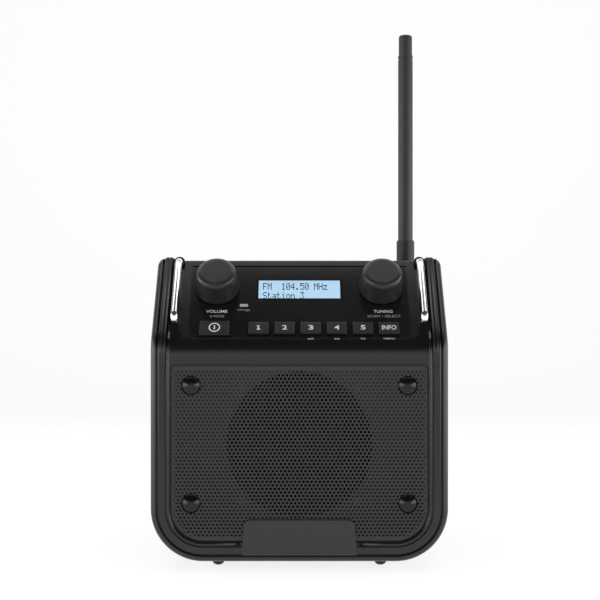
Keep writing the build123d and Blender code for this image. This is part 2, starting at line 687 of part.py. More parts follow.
def rear_case():
    """Outer shell: sides, underside, rear, hand recess, battery bay and socket pocket."""
    solid = rounded_form(0.0, CASE_RIM)
    rear = solid.faces().sort_by(Axis.Y)[-1]
    solid = fillet(rear.edges(), REAR_EDGE_RADIUS)
    seam = RIDGE_REAR + SEAM_GAP
    solid -= prism(CASE_WALL, -FAR, seam)
    cavity = form(CASE_WALL, CASE_WALL, CHEEK_RISE, CHEEK_TOP) & block(-FAR, FAR, seam - 1.0, FAR, 0, FAR)
    cavity -= recess_block(RECESS_WALL)
    cavity -= pocket_block(RECESS_WALL)
    solid -= cavity
    solid -= recess_block(0.0)
    solid -= pocket_block(0.0)
    solid -= block(-RECESS_HALF, RECESS_HALF, seam - 1.0, RECESS_FRONT + 0.1, PANEL_TOP - 0.5, FAR)
    solid += seal_strip(CASE_WALL, LEDGE_WIDTH, SKIRT_DEPTH + GASKET_THICK, LEDGE_THICK)
    for x, z in case_screw_spots():
        solid += bar_y(x, z, PILLAR_RADIUS, PILLAR_FRONT, CASE_DEPTH - CASE_WALL)
    for x, y in board_spots():
        solid += bar_z(x, y, BOARD_POST, CASE_WALL / 2, MAIN_BOARD_Z)
    solid += battery_bay()
    solid += socket_rim()
    solid += bar_z(ANTENNA_X, ANTENNA_Y, DECK_BOSS_RADIUS, DECK_BOSS_TOP - DECK_BOSS_DEPTH, DECK_BOSS_TOP)
    solid -= battery_room()
    solid -= socket_room()
    solid -= bar_z(ANTENNA_X, ANTENNA_Y, JACK_RADIUS + JACK_CLEAR, DECK_BOSS_TOP - DECK_BOSS_DEPTH - 1.0,
                   DECK_BOSS_TOP + 1.0)
    for notch in notches(RECESS_HALF):
        solid -= notch
    for x, z in case_screw_spots():
        solid -= bar_y(x, z, CASE_SCREW_RADIUS + SCREW_CLEAR, PILLAR_FRONT - 1.0, HEAD_SEAT)
        solid -= bar_y(x, z, CASE_SCREW_HEAD + SCREW_CLEAR, HEAD_SEAT, CASE_DEPTH + 1.0)
    for x, y in board_spots():
        solid -= bar_z(x, y, BOARD_SCREW + FIT, CASE_WALL, MAIN_BOARD_Z)
    for x, y in foot_spots():
        solid -= bar_z(x, y, FOOT_PLUG + FIT, -1.0, CASE_WALL + 1.0)
    return solid


def rod_wedge():
    """Ramp on the panel below the rod's root: narrow and high at the rod, wide and flush below."""
    def section(s, inner, outer, height):
        corners = [(inner, s, -3.0), (outer, s, -3.0), (outer - 1.0, s, height), (inner + 1.0, s, height)]
        return make_face(Polyline(*corners, close=True))
    high = section(WEDGE_TOP, ROD_X - WEDGE_HALF, ROD_X + WEDGE_HALF, WEDGE_HEIGHT)
    low = section(WEDGE_FOOT, ROD_X - WEDGE_FOOT_IN, ROD_X + WEDGE_FOOT_OUT, -1.6)
    return on_slope(loft([high, low], ruled=True))


def control_board_spots():
    """Where the control board is screwed to the bezel: across and along the slope."""
    return [(x, s) for x in (-BOARD_BOSS_X, BOARD_BOSS_X) for s in (BOARD_BOSS_LOW, BOARD_BOSS_HIGH)]


def flange_spots():
    """The speaker's four screws, seen from the front."""
    reach = FLANGE_SCREW_RADIUS / math.sqrt(2)
    return [(x, SPEAKER_Z + z) for x in (-reach, reach) for z in (-reach, reach)]


def stud_spots():
    return [(x, z) for x in (-STUD_X, STUD_X) for z in (STUD_LOW, STUD_HIGH)]


def buttons():
    """Every button: name, place across the panel, width and height."""
    found = [("power_button", POWER_X, POWER_WIDTH, POWER_HEIGHT)]
    for number in range(PRESET_COUNT):
        name = f"preset_button_{number + 1}" if number < PRESET_COUNT - 1 else "info_button"
        found.append((name, PRESET_FIRST + number * PRESET_PITCH, PRESET_WIDTH, PRESET_HEIGHT))
    return found


def centred(x, s, width, height, h0, h1):
    """A box on the slope round a centre."""
    return slope_block(x - width / 2, x + width / 2, s - height / 2, s + height / 2, h0, h1)


def panel_room():
    """The openings through the bezel's slope, under the fascia."""
    floor, top = -PANEL_BACK - 1.0, 1.0
    solid = centred(0, WINDOW_MID, LCD_BODY_WIDTH + 1.0, LCD_BODY_HEIGHT + 1.0, floor, top)
    for _, x, width, height in buttons():
        grow = 2 * BUTTON_CLEAR
        solid += centred(x, BUTTON_ROW, width + grow, height + grow, floor, top)
        grow += 2 * BUTTON_FLANGE
        solid += centred(x, BUTTON_ROW, width + grow, height + grow, floor - 2 * BUTTON_TRAVEL, -PANEL_BACK)
    solid += centred(LED_X, LED_S, LED_WIDTH + 2 * LED_CLEAR, LED_HEIGHT + 2 * LED_CLEAR, floor, top)
    for x in (-KNOB_X, KNOB_X):
        solid += slope_bar(x, KNOB_S, BUSH_RADIUS + BUTTON_CLEAR, floor, top)
    return solid


def grille_pocket():
    """The pocket that the sheet lies in, with a gap all round it."""
    return prism(GRILLE_POCKET, -FAR, GRILLE_BACK, GRILLE_TOP + GRILLE_GAP, GRILLE_CORNER + GRILLE_GAP)


def grille_hollow():
    """The hollow behind the sheet and the trench round its seat, less the bosses that reach the sheet."""
    trench = prism(GRILLE_POCKET, 0, GRILLE_HOLLOW, GRILLE_TOP + GRILLE_GAP, GRILLE_CORNER + GRILLE_GAP)
    seat = prism(GRILLE_INSET + GRILLE_LAP, -1.0, FAR, GRILLE_TOP - GRILLE_LAP, GRILLE_CORNER - GRILLE_LAP)
    within = GRILLE_LAP + GRILLE_SEAT
    hollow = prism(GRILLE_INSET + within, 0, GRILLE_HOLLOW, GRILLE_TOP - within)
    for x, z in stud_spots():
        hollow -= bar_y(x, z, STUD_SHANK + SCREW_BOSS_WALL, GRILLE_BACK, FAR)
    for x, z in flange_spots():
        hollow -= bar_y(x, z, FLANGE_BOSS, GRILLE_BACK, FAR)
    return trench - seat + hollow


def front_bezel():
    """Front shell: band and cheeks, lip, ledge, baffle behind the grille and seat of the fascia."""
    skirt = form(SKIRT_INSET, GROOVE_DEPTH, CHEEK_RISE, CHEEK_TOP)
    skirt = fillet(long_edges(skirt), TOP_EDGE_RADIUS - SKIRT_INSET)
    core = form(CORE_INSET)
    core = fillet(front_rim(core), RIM_RADIUS) - grille_pocket()
    front = [face for face in core.faces() if face.normal_at().Y < -0.99][0]
    core = fillet(front.inner_wires()[0].edges(), LIP_ROUND)
    solid = rounded_form(BEZEL_INSET, RIM_RADIUS) + skirt - prism(BAND_INNER)
    solid = solid + form(BAND_INNER, LIP_GROOVE_DEPTH) + core
    solid &= block(-FAR, FAR, -FAR, RIDGE_REAR, -FAR, FAR)
    within = block(-FAR, FAR, -FAR, RIDGE_REAR - RIDGE_WALL, -FAR, FAR)
    solid -= form(SKIRT_INSET + SKIRT_WALL, PANEL_BACK) & within
    solid -= behind(SKIRT_DEPTH) & block(-FAR, FAR, -FAR, FAR, -FAR, RECESS_FLOOR)
    for wedge in both_sides(rod_wedge()):
        solid += wedge
    for x, z in stud_spots():
        solid += bar_y(x, z, STUD_SHANK + SCREW_BOSS_WALL, PANEL_BACK - 0.5,
                       GRILLE_FRONT + STUD_LENGTH)
    for x, z in case_screw_spots():
        solid += bar_y(x, z, CASE_SCREW_RADIUS + SCREW_BOSS_WALL, PANEL_BACK - 0.5, PILLAR_FRONT)
    for x, z in flange_spots():
        solid += bar_y(x, z, FLANGE_BOSS, PANEL_BACK - 0.5, FLANGE_FRONT)
    for x, s in control_board_spots():
        solid += slope_bar(x, s, BOARD_POST, BOARD_TOP, -PANEL_BACK + 0.5)
    solid -= grille_pocket()
    solid -= grille_hollow()
    solid -= bar_y(0, SPEAKER_Z, BAFFLE_RADIUS, 0, PANEL_BACK + 1.0)
    solid -= fascia_plate(FASCIA_CLEAR, -FASCIA_SEAT, 5.0)
    solid -= slope_block(-FASCIA_HALF, FASCIA_HALF, FASCIA_HIGH, FASCIA_HIGH + FASCIA_SHADOW,
                         -FASCIA_SEAT, 5.0)
    solid -= panel_room()
    for notch in notches(CASE_HALF - BAND_INNER):
        solid -= notch
    for x in (-ROD_X, ROD_X):
        solid -= slope_bar(x, ROD_ROOT, ROD_RADIUS + FIT, -PANEL_BACK - 2.0, 1.0)
    for x, z in stud_spots():
        solid -= bar_y(x, z, STUD_SHANK + FIT, 0, GRILLE_FRONT + STUD_LENGTH)
    for x, z in case_screw_spots():
        solid -= bar_y(x, z, CASE_SCREW_RADIUS + FIT, CASE_SCREW_TIP, PILLAR_FRONT)
    for x, z in flange_spots():
        solid -= bar_y(x, z, BOARD_SCREW + FIT, PANEL_BACK - FLANGE_SCREW_BITE, FLANGE_FRONT)
    for x, s in control_board_spots():
        solid -= slope_bar(x, s, BOARD_SCREW + FIT, BOARD_TOP, -PANEL_BACK)
    return solid


# --- handle ---------------------------------------------------------------------------------------
def slope_point(x, s, height):
    return SLOPE.from_local_coords((x, s, height))


def handle_corners():
    """Corners of the rod's right half: tail, root, over the ridge and behind the panel."""
    return [slope_point(ROD_X, ROD_ROOT, ROD_TAIL), slope_point(ROD_X, ROD_ROOT, ROD_HEIGHT),
            slope_point(ROD_X, ROD_TURN, ROD_HEIGHT), Vector(ROD_X, GRIP_Y, GRIP_Z)]


def swept_round(path, radius):
    """A round bar along a path."""
    return sweep(Plane(origin=path @ 0, z_dir=path % 0) * Circle(radius), path)


def roll_bar_handle():
    """One polished rod: up both sides of the panel, over the ridge and across behind it."""
    right = handle_corners()
    left = [Vector(-point.X, point.Y, point.Z) for point in reversed(right)]
    path = FilletPolyline(*right, *left, radius=[ROD_ROOT_BEND, ROD_BEND, HANDLE_CORNER,
                                                  HANDLE_CORNER, ROD_BEND, ROD_ROOT_BEND])
    return swept_round(path, ROD_RADIUS)


def handle_sleeves():
    """Rubber sleeves from the ridge round the corner to the grip."""
    bend, corner = handle_corners()[2:]
    start = bend + (corner - bend).normalized() * SLEEVE_START
    path = FilletPolyline(start, corner, Vector(SLEEVE_END, corner.Y, corner.Z), radius=[HANDLE_CORNER])
    sleeve = swept_round(path, SLEEVE_RADIUS) - swept_round(path, ROD_RADIUS + FIT)
    return both_sides(sleeve)


def handle_grip():
    grip = bar_x(GRIP_Y, GRIP_Z, GRIP_RADIUS, -GRIP_HALF, GRIP_HALF)
    grip = fillet(grip.edges(), GRIP_ROUND)
    return grip - bar_x(GRIP_Y, GRIP_Z, ROD_RADIUS + FIT, -GRIP_HALF - 1.0, GRIP_HALF + 1.0)


def handle_nuts():
    """Hexagon nuts that hold the rod's two tails behind the panel."""
    hexagon = RegularPolygon(NUT_HEX, 6, major_radius=False) - Circle(ROD_RADIUS + FIT)
    nut = Pos(ROD_X, ROD_ROOT, -PANEL_BACK - NUT_HEIGHT) * extrude(hexagon, NUT_HEIGHT)
    return both_sides(on_slope(nut))


# --- grille and plate ----------------------------------------------------------------------------
def speaker_grille():
    sheet = prism(GRILLE_INSET, GRILLE_FRONT, GRILLE_BACK, GRILLE_TOP, GRILLE_CORNER)
    for x, z in stud_spots():
        sheet -= bar_y(x, z, STUD_SHANK + SCREW_CLEAR, GRILLE_FRONT - 1.0, GRILLE_BACK + 1.0)
    return sheet


def grille_studs():
    """Domed stud that holds the sheet, with its shank pushed into the bezel's boss."""
    ball = (STUD_RADIUS ** 2 + STUD_HEIGHT ** 2) / (2 * STUD_HEIGHT)
    front = GRILLE_FRONT - STUD_HEIGHT
    studs = []
    for x, z in stud_spots():
        head = bar_y(x, z, STUD_RADIUS, front, GRILLE_FRONT) & Pos(x, front + ball, z) * Sphere(ball)
        studs.append(head + bar_y(x, z, STUD_SHANK, GRILLE_FRONT, GRILLE_FRONT + STUD_LENGTH - SCREW_END))
    return studs


def name_plate():
    """Bare plate, wider below, with a pad behind it that rests on the grille."""
    corners = [(-PLATE_HALF_BOTTOM, PLATE_LOW), (PLATE_HALF_BOTTOM, PLATE_LOW),
               (PLATE_HALF_TOP, PLATE_HIGH), (-PLATE_HALF_TOP, PLATE_HIGH)]
    face = make_face(Polyline(*corners, close=True))
    face = fillet(face.vertices().sort_by(Axis.Y)[-2:], PLATE_RADIUS)
    plate = extrude(Plane.XZ * face, PLATE_THICK)
    plate = fillet(plate.faces().sort_by(Axis.Y)[0].edges(), PLATE_EDGE)
    half = PLATE_HALF_TOP - PLATE_PAD_INSET
    pad = block(-half, half, 0, GRILLE_FRONT, GRILLE_INSET + PLATE_PAD_INSET, PLATE_HIGH - PLATE_PAD_INSET)
    return plate + pad


# --- speaker --------------------------------------------------------------------------------------
def turned_y(points):
    """A ring or disc of the speaker, from points of radius and depth."""
    return Pos(0, 0, SPEAKER_Z) * revolve(make_face(Polyline(*points, close=True)), Axis.Y)


def tube_y(inner, outer, y0, y1):
    return turned_y([(inner, y0), (outer, y0), (outer, y1), (inner, y1)])


def dust_cloth():
    return bar_y(0, SPEAKER_Z, CLOTH_RADIUS, PANEL_BACK, PANEL_BACK + CLOTH_THICK)


def speaker_gasket():
    return tube_y(BAFFLE_RADIUS, CLOTH_RADIUS, PANEL_BACK + CLOTH_THICK, FLANGE_FRONT)


def speaker_frame():
    """Pressed basket: flange, four-legged cone and the plate that the magnet is stuck to."""
    front, rear = FLANGE_FRONT, FLANGE_FRONT + BASKET_DEPTH
    seat = FLANGE_FRONT + FLANGE_THICK
    outer = [(FLANGE_INNER, front), (FLANGE_RADIUS, front), (FLANGE_RADIUS, seat),
             (FLANGE_INNER + BASKET_WALL, seat), (BASKET_REAR_RADIUS, rear),
             (BASKET_REAR_RADIUS, rear + BASKET_WALL), (GAP_RADIUS, rear + BASKET_WALL)]
    inner = [(GAP_RADIUS, rear), (BASKET_REAR_RADIUS - BASKET_WALL, rear), (FLANGE_INNER, seat)]
    profile = outer + inner
    solid = turned_y(profile)
    middle = (seat + rear) / 2
    reach = BASKET_DEPTH / 5
    for turn in range(4):
        window = block(-BASKET_WINDOW, BASKET_WINDOW, middle - reach, middle + reach,
                       BASKET_REAR_RADIUS, FLANGE_RADIUS)
        solid -= Pos(0, 0, SPEAKER_Z) * Rot(0, 90 * turn, 0) * window
    for x, z in flange_spots():
        solid -= bar_y(x, z, BOARD_SCREW + SCREW_CLEAR, front - 1.0, seat + 1.0)
    return solid


def speaker_screws():
    screws = []
    for x, z in flange_spots():
        seat = FLANGE_FRONT + FLANGE_THICK
        shank = bar_y(x, z, BOARD_SCREW, PANEL_BACK - FLANGE_SCREW_BITE + 0.3, seat)
        screws.append(shank + bar_y(x, z, 2 * BOARD_SCREW, seat, seat + BOARD_SCREW))
    return screws


def surround():
    """Half-roll edge of the cone, glued to the front of the flange."""
    mid, roll = (CONE_OUTER + FLANGE_INNER) / 2, (FLANGE_INNER - CONE_OUTER) / 2
    top = FLANGE_FRONT
    circle = Pos(mid, top) * (Circle(roll) - Circle(roll - CONE_THICK))
    front_half = Pos(mid, top - roll) * Rectangle(4 * roll, 2 * roll)
    ring = revolve(circle - front_half, Axis.Y)
    lip = tube_y(FLANGE_INNER - CONE_THICK, BAFFLE_RADIUS - 1.0, top - CONE_THICK, top)
    return Pos(0, 0, SPEAKER_Z) * ring + lip


def speaker_cone():
    front, rear = FLANGE_FRONT, FLANGE_FRONT + CONE_DEPTH
    edge = CONE_OUTER - EDGE_GAP
    return turned_y([(edge, front), (edge - CONE_THICK, front),
                     (COIL_RADIUS + FIT, rear - CONE_THICK), (COIL_RADIUS + FIT, rear)])


def dust_cap():
    """Shallow dome glued over the middle of the cone."""
    slant = (CONE_DEPTH - CONE_THICK) / (CONE_OUTER - COIL_RADIUS)
    rear = FLANGE_FRONT + slant * (CONE_OUTER - CAP_RADIUS) - CAP_GAP
    centre = rear + CAP_BALL - CAP_RISE
    ball = Sphere(CAP_BALL) - Sphere(CAP_BALL - CONE_THICK)
    return Pos(0, centre, SPEAKER_Z) * (ball & block(-FAR, FAR, -FAR, CAP_RISE - CAP_BALL, -FAR, FAR))


def voice_coil():
    return tube_y(COIL_RADIUS - COIL_WALL, COIL_RADIUS, FLANGE_FRONT + CONE_DEPTH - CONE_THICK,
                  FLANGE_FRONT + BASKET_DEPTH + COIL_REACH)


def spider():
    """Springy disc that centres the coil in the basket."""
    y0 = FLANGE_FRONT + SPIDER_DEPTH
    taper = (BASKET_TAPER + BASKET_WALL) / (BASKET_DEPTH - FLANGE_THICK)
    edge = FLANGE_INNER - taper * (SPIDER_DEPTH - FLANGE_THICK)
    return tube_y(COIL_RADIUS + FIT, edge - SPIDER_EDGE, y0, y0 + CONE_THICK)


def speaker_magnet():
    y0 = FLANGE_FRONT + BASKET_DEPTH + BASKET_WALL
    return tube_y(GAP_RADIUS + MAGNET_BORE, MAGNET_RADIUS, y0, y0 + MAGNET_THICK)


def speaker_yoke():
    y0 = FLANGE_FRONT + BASKET_DEPTH + BASKET_WALL + MAGNET_THICK
    disc = bar_y(0, SPEAKER_Z, MAGNET_RADIUS - YOKE_IN, y0, y0 + YOKE_THICK)
    return disc + bar_y(0, SPEAKER_Z, POLE_RADIUS, y0 - MAGNET_THICK - BASKET_WALL, y0)


# --- control panel -------------------------------------------------------------------------------
def fascia_plate(grow, h0, h1):
    """The fascia's outline on the slope, grown for its seat."""
    middle = (FASCIA_LOW + FASCIA_HIGH) / 2
    height = FASCIA_HIGH - FASCIA_LOW + 2 * grow
    face = RectangleRounded(2 * (FASCIA_HALF + grow), height, FASCIA_RADIUS + grow)
    return on_slope(Pos(0, middle, h0) * extrude(face, h1 - h0))


def control_fascia():
    """Insert that carries the window, the buttons and the knobs' collars."""
    solid = fascia_plate(0.0, -FASCIA_SEAT, FASCIA_PROUD)
    face = solid.faces().sort_by(SLOPE_AXIS)[-1]
    solid = fillet(face.outer_wire().edges(), FASCIA_EDGE)
    frame = 2 * WINDOW_FRAME
    solid -= centred(0, WINDOW_MID, WINDOW_WIDTH + frame, WINDOW_HEIGHT + frame, WINDOW_SEAT, 5.0)
    solid -= centred(0, WINDOW_MID, WINDOW_WIDTH, WINDOW_HEIGHT, -5.0, 5.0)
    for _, x, width, height in buttons():
        grow = 2 * BUTTON_CLEAR
        solid -= centred(x, BUTTON_ROW, width + grow, height + grow, -5.0, 5.0)
    solid -= centred(LED_X, LED_S, LED_WIDTH + 2 * LED_CLEAR, LED_HEIGHT + 2 * LED_CLEAR, -5.0, 5.0)
    for x in (-KNOB_X, KNOB_X):
        solid -= slope_bar(x, KNOB_S, BUSH_RADIUS + BUTTON_CLEAR, -5.0, 5.0)
    return solid


def display_window():
    frame = 2 * (WINDOW_FRAME - LED_CLEAR)
    return centred(0, WINDOW_MID, WINDOW_WIDTH + frame, WINDOW_HEIGHT + frame, WINDOW_SEAT,
                   WINDOW_SEAT + WINDOW_THICK)


def display_glass():
    """The liquid crystal cell right behind the window."""
    top = -FASCIA_SEAT - LCD_GAP
    return centred(0, WINDOW_MID, LCD_BODY_WIDTH, LCD_BODY_HEIGHT, top - LCD_GLASS, top)


def display_module():
    """Backlight frame, its small board and the header that stands it on the control board."""
    top = -FASCIA_SEAT - LCD_GAP - LCD_GLASS
    plate_top = -PANEL_BACK - LCD_GAP
    frame = centred(0, WINDOW_MID, LCD_BODY_WIDTH, LCD_BODY_HEIGHT, plate_top, top)
    plate = centred(0, WINDOW_MID, LCD_WIDTH, LCD_HEIGHT, plate_top - BOARD_THICK, plate_top)
    header = centred(0, WINDOW_MID + LCD_HEIGHT / 2 - HEADER, LCD_WIDTH / 2, HEADER, BOARD_TOP,
                     plate_top - BOARD_THICK)
    return frame + plate + header


def button(x, width, height):
    """Cap through the fascia, with a flange behind the panel that stops it."""
    cap = centred(x, BUTTON_ROW, width, height, -PANEL_BACK, BUTTON_PROUD)
    top = cap.faces().sort_by(SLOPE_AXIS)[-1]
    cap = fillet(top.edges(), BUTTON_EDGE)
    grow = 2 * BUTTON_FLANGE
    stop = -PANEL_BACK - BUTTON_FLANGE
    return cap + centred(x, BUTTON_ROW, width + grow, height + grow, stop, -PANEL_BACK)


def keypad_mat():
    """Silicone sheet on the control board with a dome under each button."""
    half = FASCIA_HALF - MAT_SIDE
    sheet_top = BOARD_TOP + MAT_THICK
    reach = POWER_HEIGHT / 2 + MAT_MARGIN
    solid = slope_block(-half, half, BUTTON_ROW - reach, BUTTON_ROW + reach, BOARD_TOP, sheet_top)
    dome_top = -PANEL_BACK - BUTTON_FLANGE - BUTTON_TRAVEL - DOME_GAP
    for _, x, width, height in buttons():
        shrink = 2 * MAT_MARGIN
        solid += centred(x, BUTTON_ROW, width - shrink, height - shrink, sheet_top, dome_top)
    return solid


def charge_light_lens():
    """Clear bar that carries the charge light up to the fascia."""
    return centred(LED_X, LED_S, LED_WIDTH, LED_HEIGHT, BOARD_TOP + LED_CHIP, FASCIA_PROUD + LED_PROUD)


def control_board():
    """Board behind the panel, with the charge light's chip on it."""
    solid = slope_block(-BOARD_HALF, BOARD_HALF, BOARD_LOW, BOARD_HIGH, BOARD_TOP - BOARD_THICK, BOARD_TOP)
    solid += centred(LED_X, LED_S, LED_WIDTH / 2, LED_HEIGHT, BOARD_TOP, BOARD_TOP + LED_CHIP)
    for x, s in control_board_spots():
        solid -= slope_bar(x, s, BOARD_SCREW + SCREW_CLEAR, BOARD_TOP - 5.0, BOARD_TOP + 1.0)
    return solid


# --- knobs ----------------------------------------------------------------------------------------
def turned_z(points):
    return revolve(Plane.XZ * make_face(Polyline(*points, close=True)), Axis.Z)


def knob(x):
    """Tapered cap with a rounded crown, a thin skirt and a hub on the shaft."""
    low = FASCIA_PROUD + KNOB_GAP
    solid = turned_z([(0, low), (KNOB_BASE, low), (KNOB_TOP, KNOB_HEIGHT), (0, KNOB_HEIGHT)])
    rims = solid.edges().filter_by(GeomType.CIRCLE).sort_by(Axis.Z)
    solid = fillet(rims[-1], KNOB_ROUND)
    solid = fillet(solid.edges().filter_by(GeomType.CIRCLE).sort_by(Axis.Z)[0], KNOB_EDGE)
    solid -= turned_z([(KNOB_HUB, low - 1.0), (KNOB_BASE - KNOB_SKIN, low - 1.0),
                       (KNOB_TOP - KNOB_SKIN, SHAFT_TOP), (KNOB_HUB, SHAFT_TOP)])
    solid -= bar_z(0, 0, SHAFT_RADIUS + FIT, low - 1.0, SHAFT_TOP)
    return on_slope(Pos(x, KNOB_S, 0) * solid)


def encoder_shaft(x):
    return slope_bar(x, KNOB_S, SHAFT_RADIUS, PLUNGER_TOP, SHAFT_TOP)


def encoder_plunger(x):
    """Slider under the shaft that the knob's push moves."""
    return slope_bar(x, KNOB_S, PLUNGER_RADIUS, PLUNGER_TOP - PLUNGER_THICK, PLUNGER_TOP)


def encoder_body(x):
    """Housing on the control board, with the bush that the shaft turns in."""
    solid = centred(x, KNOB_S, ENCODER_SIZE, ENCODER_SIZE, BOARD_TOP, ENCODER_TOP)
    solid += slope_bar(x, KNOB_S, BUSH_RADIUS, ENCODER_TOP, BUSH_TOP)
    solid -= slope_bar(x, KNOB_S, PLUNGER_RADIUS + RUNNING_FIT, BOARD_TOP + ENCODER_FLOOR,
                       ENCODER_TOP - ENCODER_FLOOR)
    return solid - slope_bar(x, KNOB_S, SHAFT_RADIUS + RUNNING_FIT, BOARD_TOP + ENCODER_FLOOR, BUSH_TOP + 1.0)


# --- antenna --------------------------------------------------------------------------------------
def antenna_socket():
    """Threaded bayonet jack with its nut on the deck."""
    x, y = ANTENNA_X, ANTENNA_Y
    hexagon = extrude(RegularPolygon(NUT_RADIUS, 6), NUT_THICK)
    solid = bar_z(x, y, JACK_RADIUS, DECK_BOSS_TOP - JACK_DROP, DECK_BOSS_TOP + JACK_RISE)
    return solid + Pos(x, y, DECK_BOSS_TOP) * hexagon


def antenna_collar():
    """Bayonet collar that turns on the jack."""
    x, y = ANTENNA_X, ANTENNA_Y
    solid = bar_z(x, y, COLLAR_RADIUS, COLLAR_LOW, COLLAR_TOP)
    rims = solid.edges().sort_by(Axis.Z)
    solid = chamfer(rims[-1], COLLAR_CHAMFER)
    solid -= bar_z(x, y, JACK_RADIUS + RUNNING_FIT, COLLAR_LOW - 1.0, DECK_BOSS_TOP + JACK_RISE + COLLAR_GAP)
    return solid - bar_z(x, y, MAST_CORE + FIT, COLLAR_TOP - MAST_SPIGOT, COLLAR_TOP + 1.0)


def antenna_mast():
    """Thick rubber whip, with a spigot in the collar and a groove near the top."""
    x, y = ANTENNA_X, ANTENNA_Y
    solid = bar_z(x, y, MAST_RADIUS, COLLAR_TOP, MAST_TOP)
    solid += bar_z(x, y, MAST_CORE, COLLAR_TOP - MAST_SPIGOT, COLLAR_TOP)
    solid += bar_z(x, y, MAST_CORE, MAST_TOP, MAST_TOP + MAST_SPIGOT)
    for top in (MAST_TOP, MAST_TOP - GROOVE_STEP):
        ring = bar_z(x, y, MAST_RADIUS + 1.0, top - GROOVE_TALL, top) - bar_z(
            x, y, MAST_RADIUS - ANTENNA_GROOVE, top - GROOVE_TALL, top)
        solid -= ring
    return solid


def antenna_tip():
    x, y = ANTENNA_X, ANTENNA_Y
    solid = bar_z(x, y, TIP_RADIUS, MAST_TOP, TIP_TOP)
    solid = fillet(solid.edges().sort_by(Axis.Z)[-1], TIP_ROUND)
    return solid - bar_z(x, y, MAST_CORE + FIT, MAST_TOP - 1.0, MAST_TOP + MAST_SPIGOT)


# --- battery bay ----------------------------------------------------------------------------------
def cell_rows():
    first = BAY_LOW + CELL_CLEAR + CELL_RADIUS
    return [first + row * (2 * CELL_RADIUS + CELL_GAP) for row in range(CELL_ROWS)]


def battery_cells():
    """Round cells end to end, in rows one above the other."""
    cells = []
    start = -CELLS_PER_ROW * CELL_LENGTH / 2
    for z in cell_rows():
        for place in range(CELLS_PER_ROW):
            x = start + place * CELL_LENGTH
            can = bar_x(CELL_Y, z, CELL_RADIUS, x, x + CELL_LENGTH - CELL_NUB)
            can = fillet(can.edges(), CELL_EDGE)
            end = x + CELL_LENGTH
            cells.append(can + bar_x(CELL_Y, z, CELL_NUB_RADIUS, end - CELL_NUB, end))
    return cells


def battery_contacts():
    """Bent spring strips on the bay's end walls, touching the end cells."""
    contacts = []
    touch = CELLS_PER_ROW * CELL_LENGTH / 2
    plate = BAY_HALF - CONTACT_THICK
    half = CONTACT_SIZE / 2
    for z in cell_rows():
        outer = [(plate, -half), (touch, -BOW_FLAT), (touch, BOW_FLAT), (plate, half)]
        inner = [(plate, half - BOW_FOOT), (touch + CONTACT_THICK, BOW_FLAT / 2),
                 (touch + CONTACT_THICK, -BOW_FLAT / 2), (plate, BOW_FOOT - half)]
        bow = extrude(make_face(Polyline(*outer, *inner, close=True)), half, both=True)
        bow = Pos(0, CELL_Y, z) * bow
        base = block(plate, BAY_HALF, CELL_Y - half, CELL_Y + half, z - half, z + half)
        contacts += both_sides(bow + base)
    return contacts


def battery_cover():
    """Cover flush with the rear, with counterbored holes for its two captive screws."""
    solid = cover_plate(0.0, CASE_DEPTH - COVER_THICK, CASE_DEPTH)
    solid = fillet(solid.faces().sort_by(Axis.Y)[-1].edges(), COVER_EDGE)
    for x in (-THUMB_X, THUMB_X):
        solid -= bar_y(x, THUMB_Z, THUMB_SHANK + RUNNING_FIT, 0, CASE_DEPTH + 1.0)
        solid -= bar_y(x, THUMB_Z, THUMB_RADIUS + 2 * SCREW_CLEAR, CASE_DEPTH - THUMB_SINK, CASE_DEPTH + 1.0)
    return solid


def cover_seal():
    """Foam strip round the bay's mouth."""
    wide = SEAL_WIDTH
    ring = block(-BAY_HALF - wide, BAY_HALF + wide, COVER_SEAT_Y, COVER_SEAT_Y + SEAL_THICK,
                 BAY_LOW - wide, BAY_HIGH + wide)
    return ring - block(-BAY_HALF, BAY_HALF, 0, CASE_DEPTH, BAY_LOW, BAY_HIGH)


def cover_screw(x):
    """Captive thumbscrew with a coin slot."""
    seat, top = CASE_DEPTH - THUMB_SINK, CASE_DEPTH + THUMB_PROUD
    head = bar_y(x, THUMB_Z, THUMB_RADIUS, seat, top)
    head = chamfer(head.edges().sort_by(Axis.Y)[-1], COVER_EDGE)
    head -= block(x - THUMB_RADIUS, x + THUMB_RADIUS, top - COIN_SLOT, top + 1.0, THUMB_Z - COIN_SLOT / 2,
                  THUMB_Z + COIN_SLOT / 2)
    return head + bar_y(x, THUMB_Z, THUMB_SHANK, THUMB_TIP, seat)


# --- sockets --------------------------------------------------------------------------------------
def power_inlet():
    """Direct current inlet: barrel, bore and centre pin."""
    start = SOCKET_FACE - SOCKET_LENGTH
    solid = bar_y(DC_X, SOCKET_Z, DC_RADIUS, start, SOCKET_FACE)
    solid -= bar_y(DC_X, SOCKET_Z, DC_BORE, start + SOCKET_END, SOCKET_FACE + 1.0)
    return solid + bar_y(DC_X, SOCKET_Z, DC_PIN, start, SOCKET_FACE - 1.0)


def audio_inlet():
    """Auxiliary input socket."""
    start = SOCKET_FACE - SOCKET_LENGTH
    solid = bar_y(AUX_X, SOCKET_Z, AUX_RADIUS, start, SOCKET_FACE)
    return solid - bar_y(AUX_X, SOCKET_Z, AUX_BORE, start + SOCKET_END, SOCKET_FACE + 1.0)


def jack_board():
    rear = SOCKET_FACE - SOCKET_LENGTH
    grow = JACK_BOARD_MARGIN
    return block(AUX_X - AUX_RADIUS - grow, DC_X + DC_RADIUS + grow, rear - JACK_BOARD_THICK, rear,
                 SOCKET_Z - DC_RADIUS - grow, SOCKET_Z + DC_RADIUS + grow)


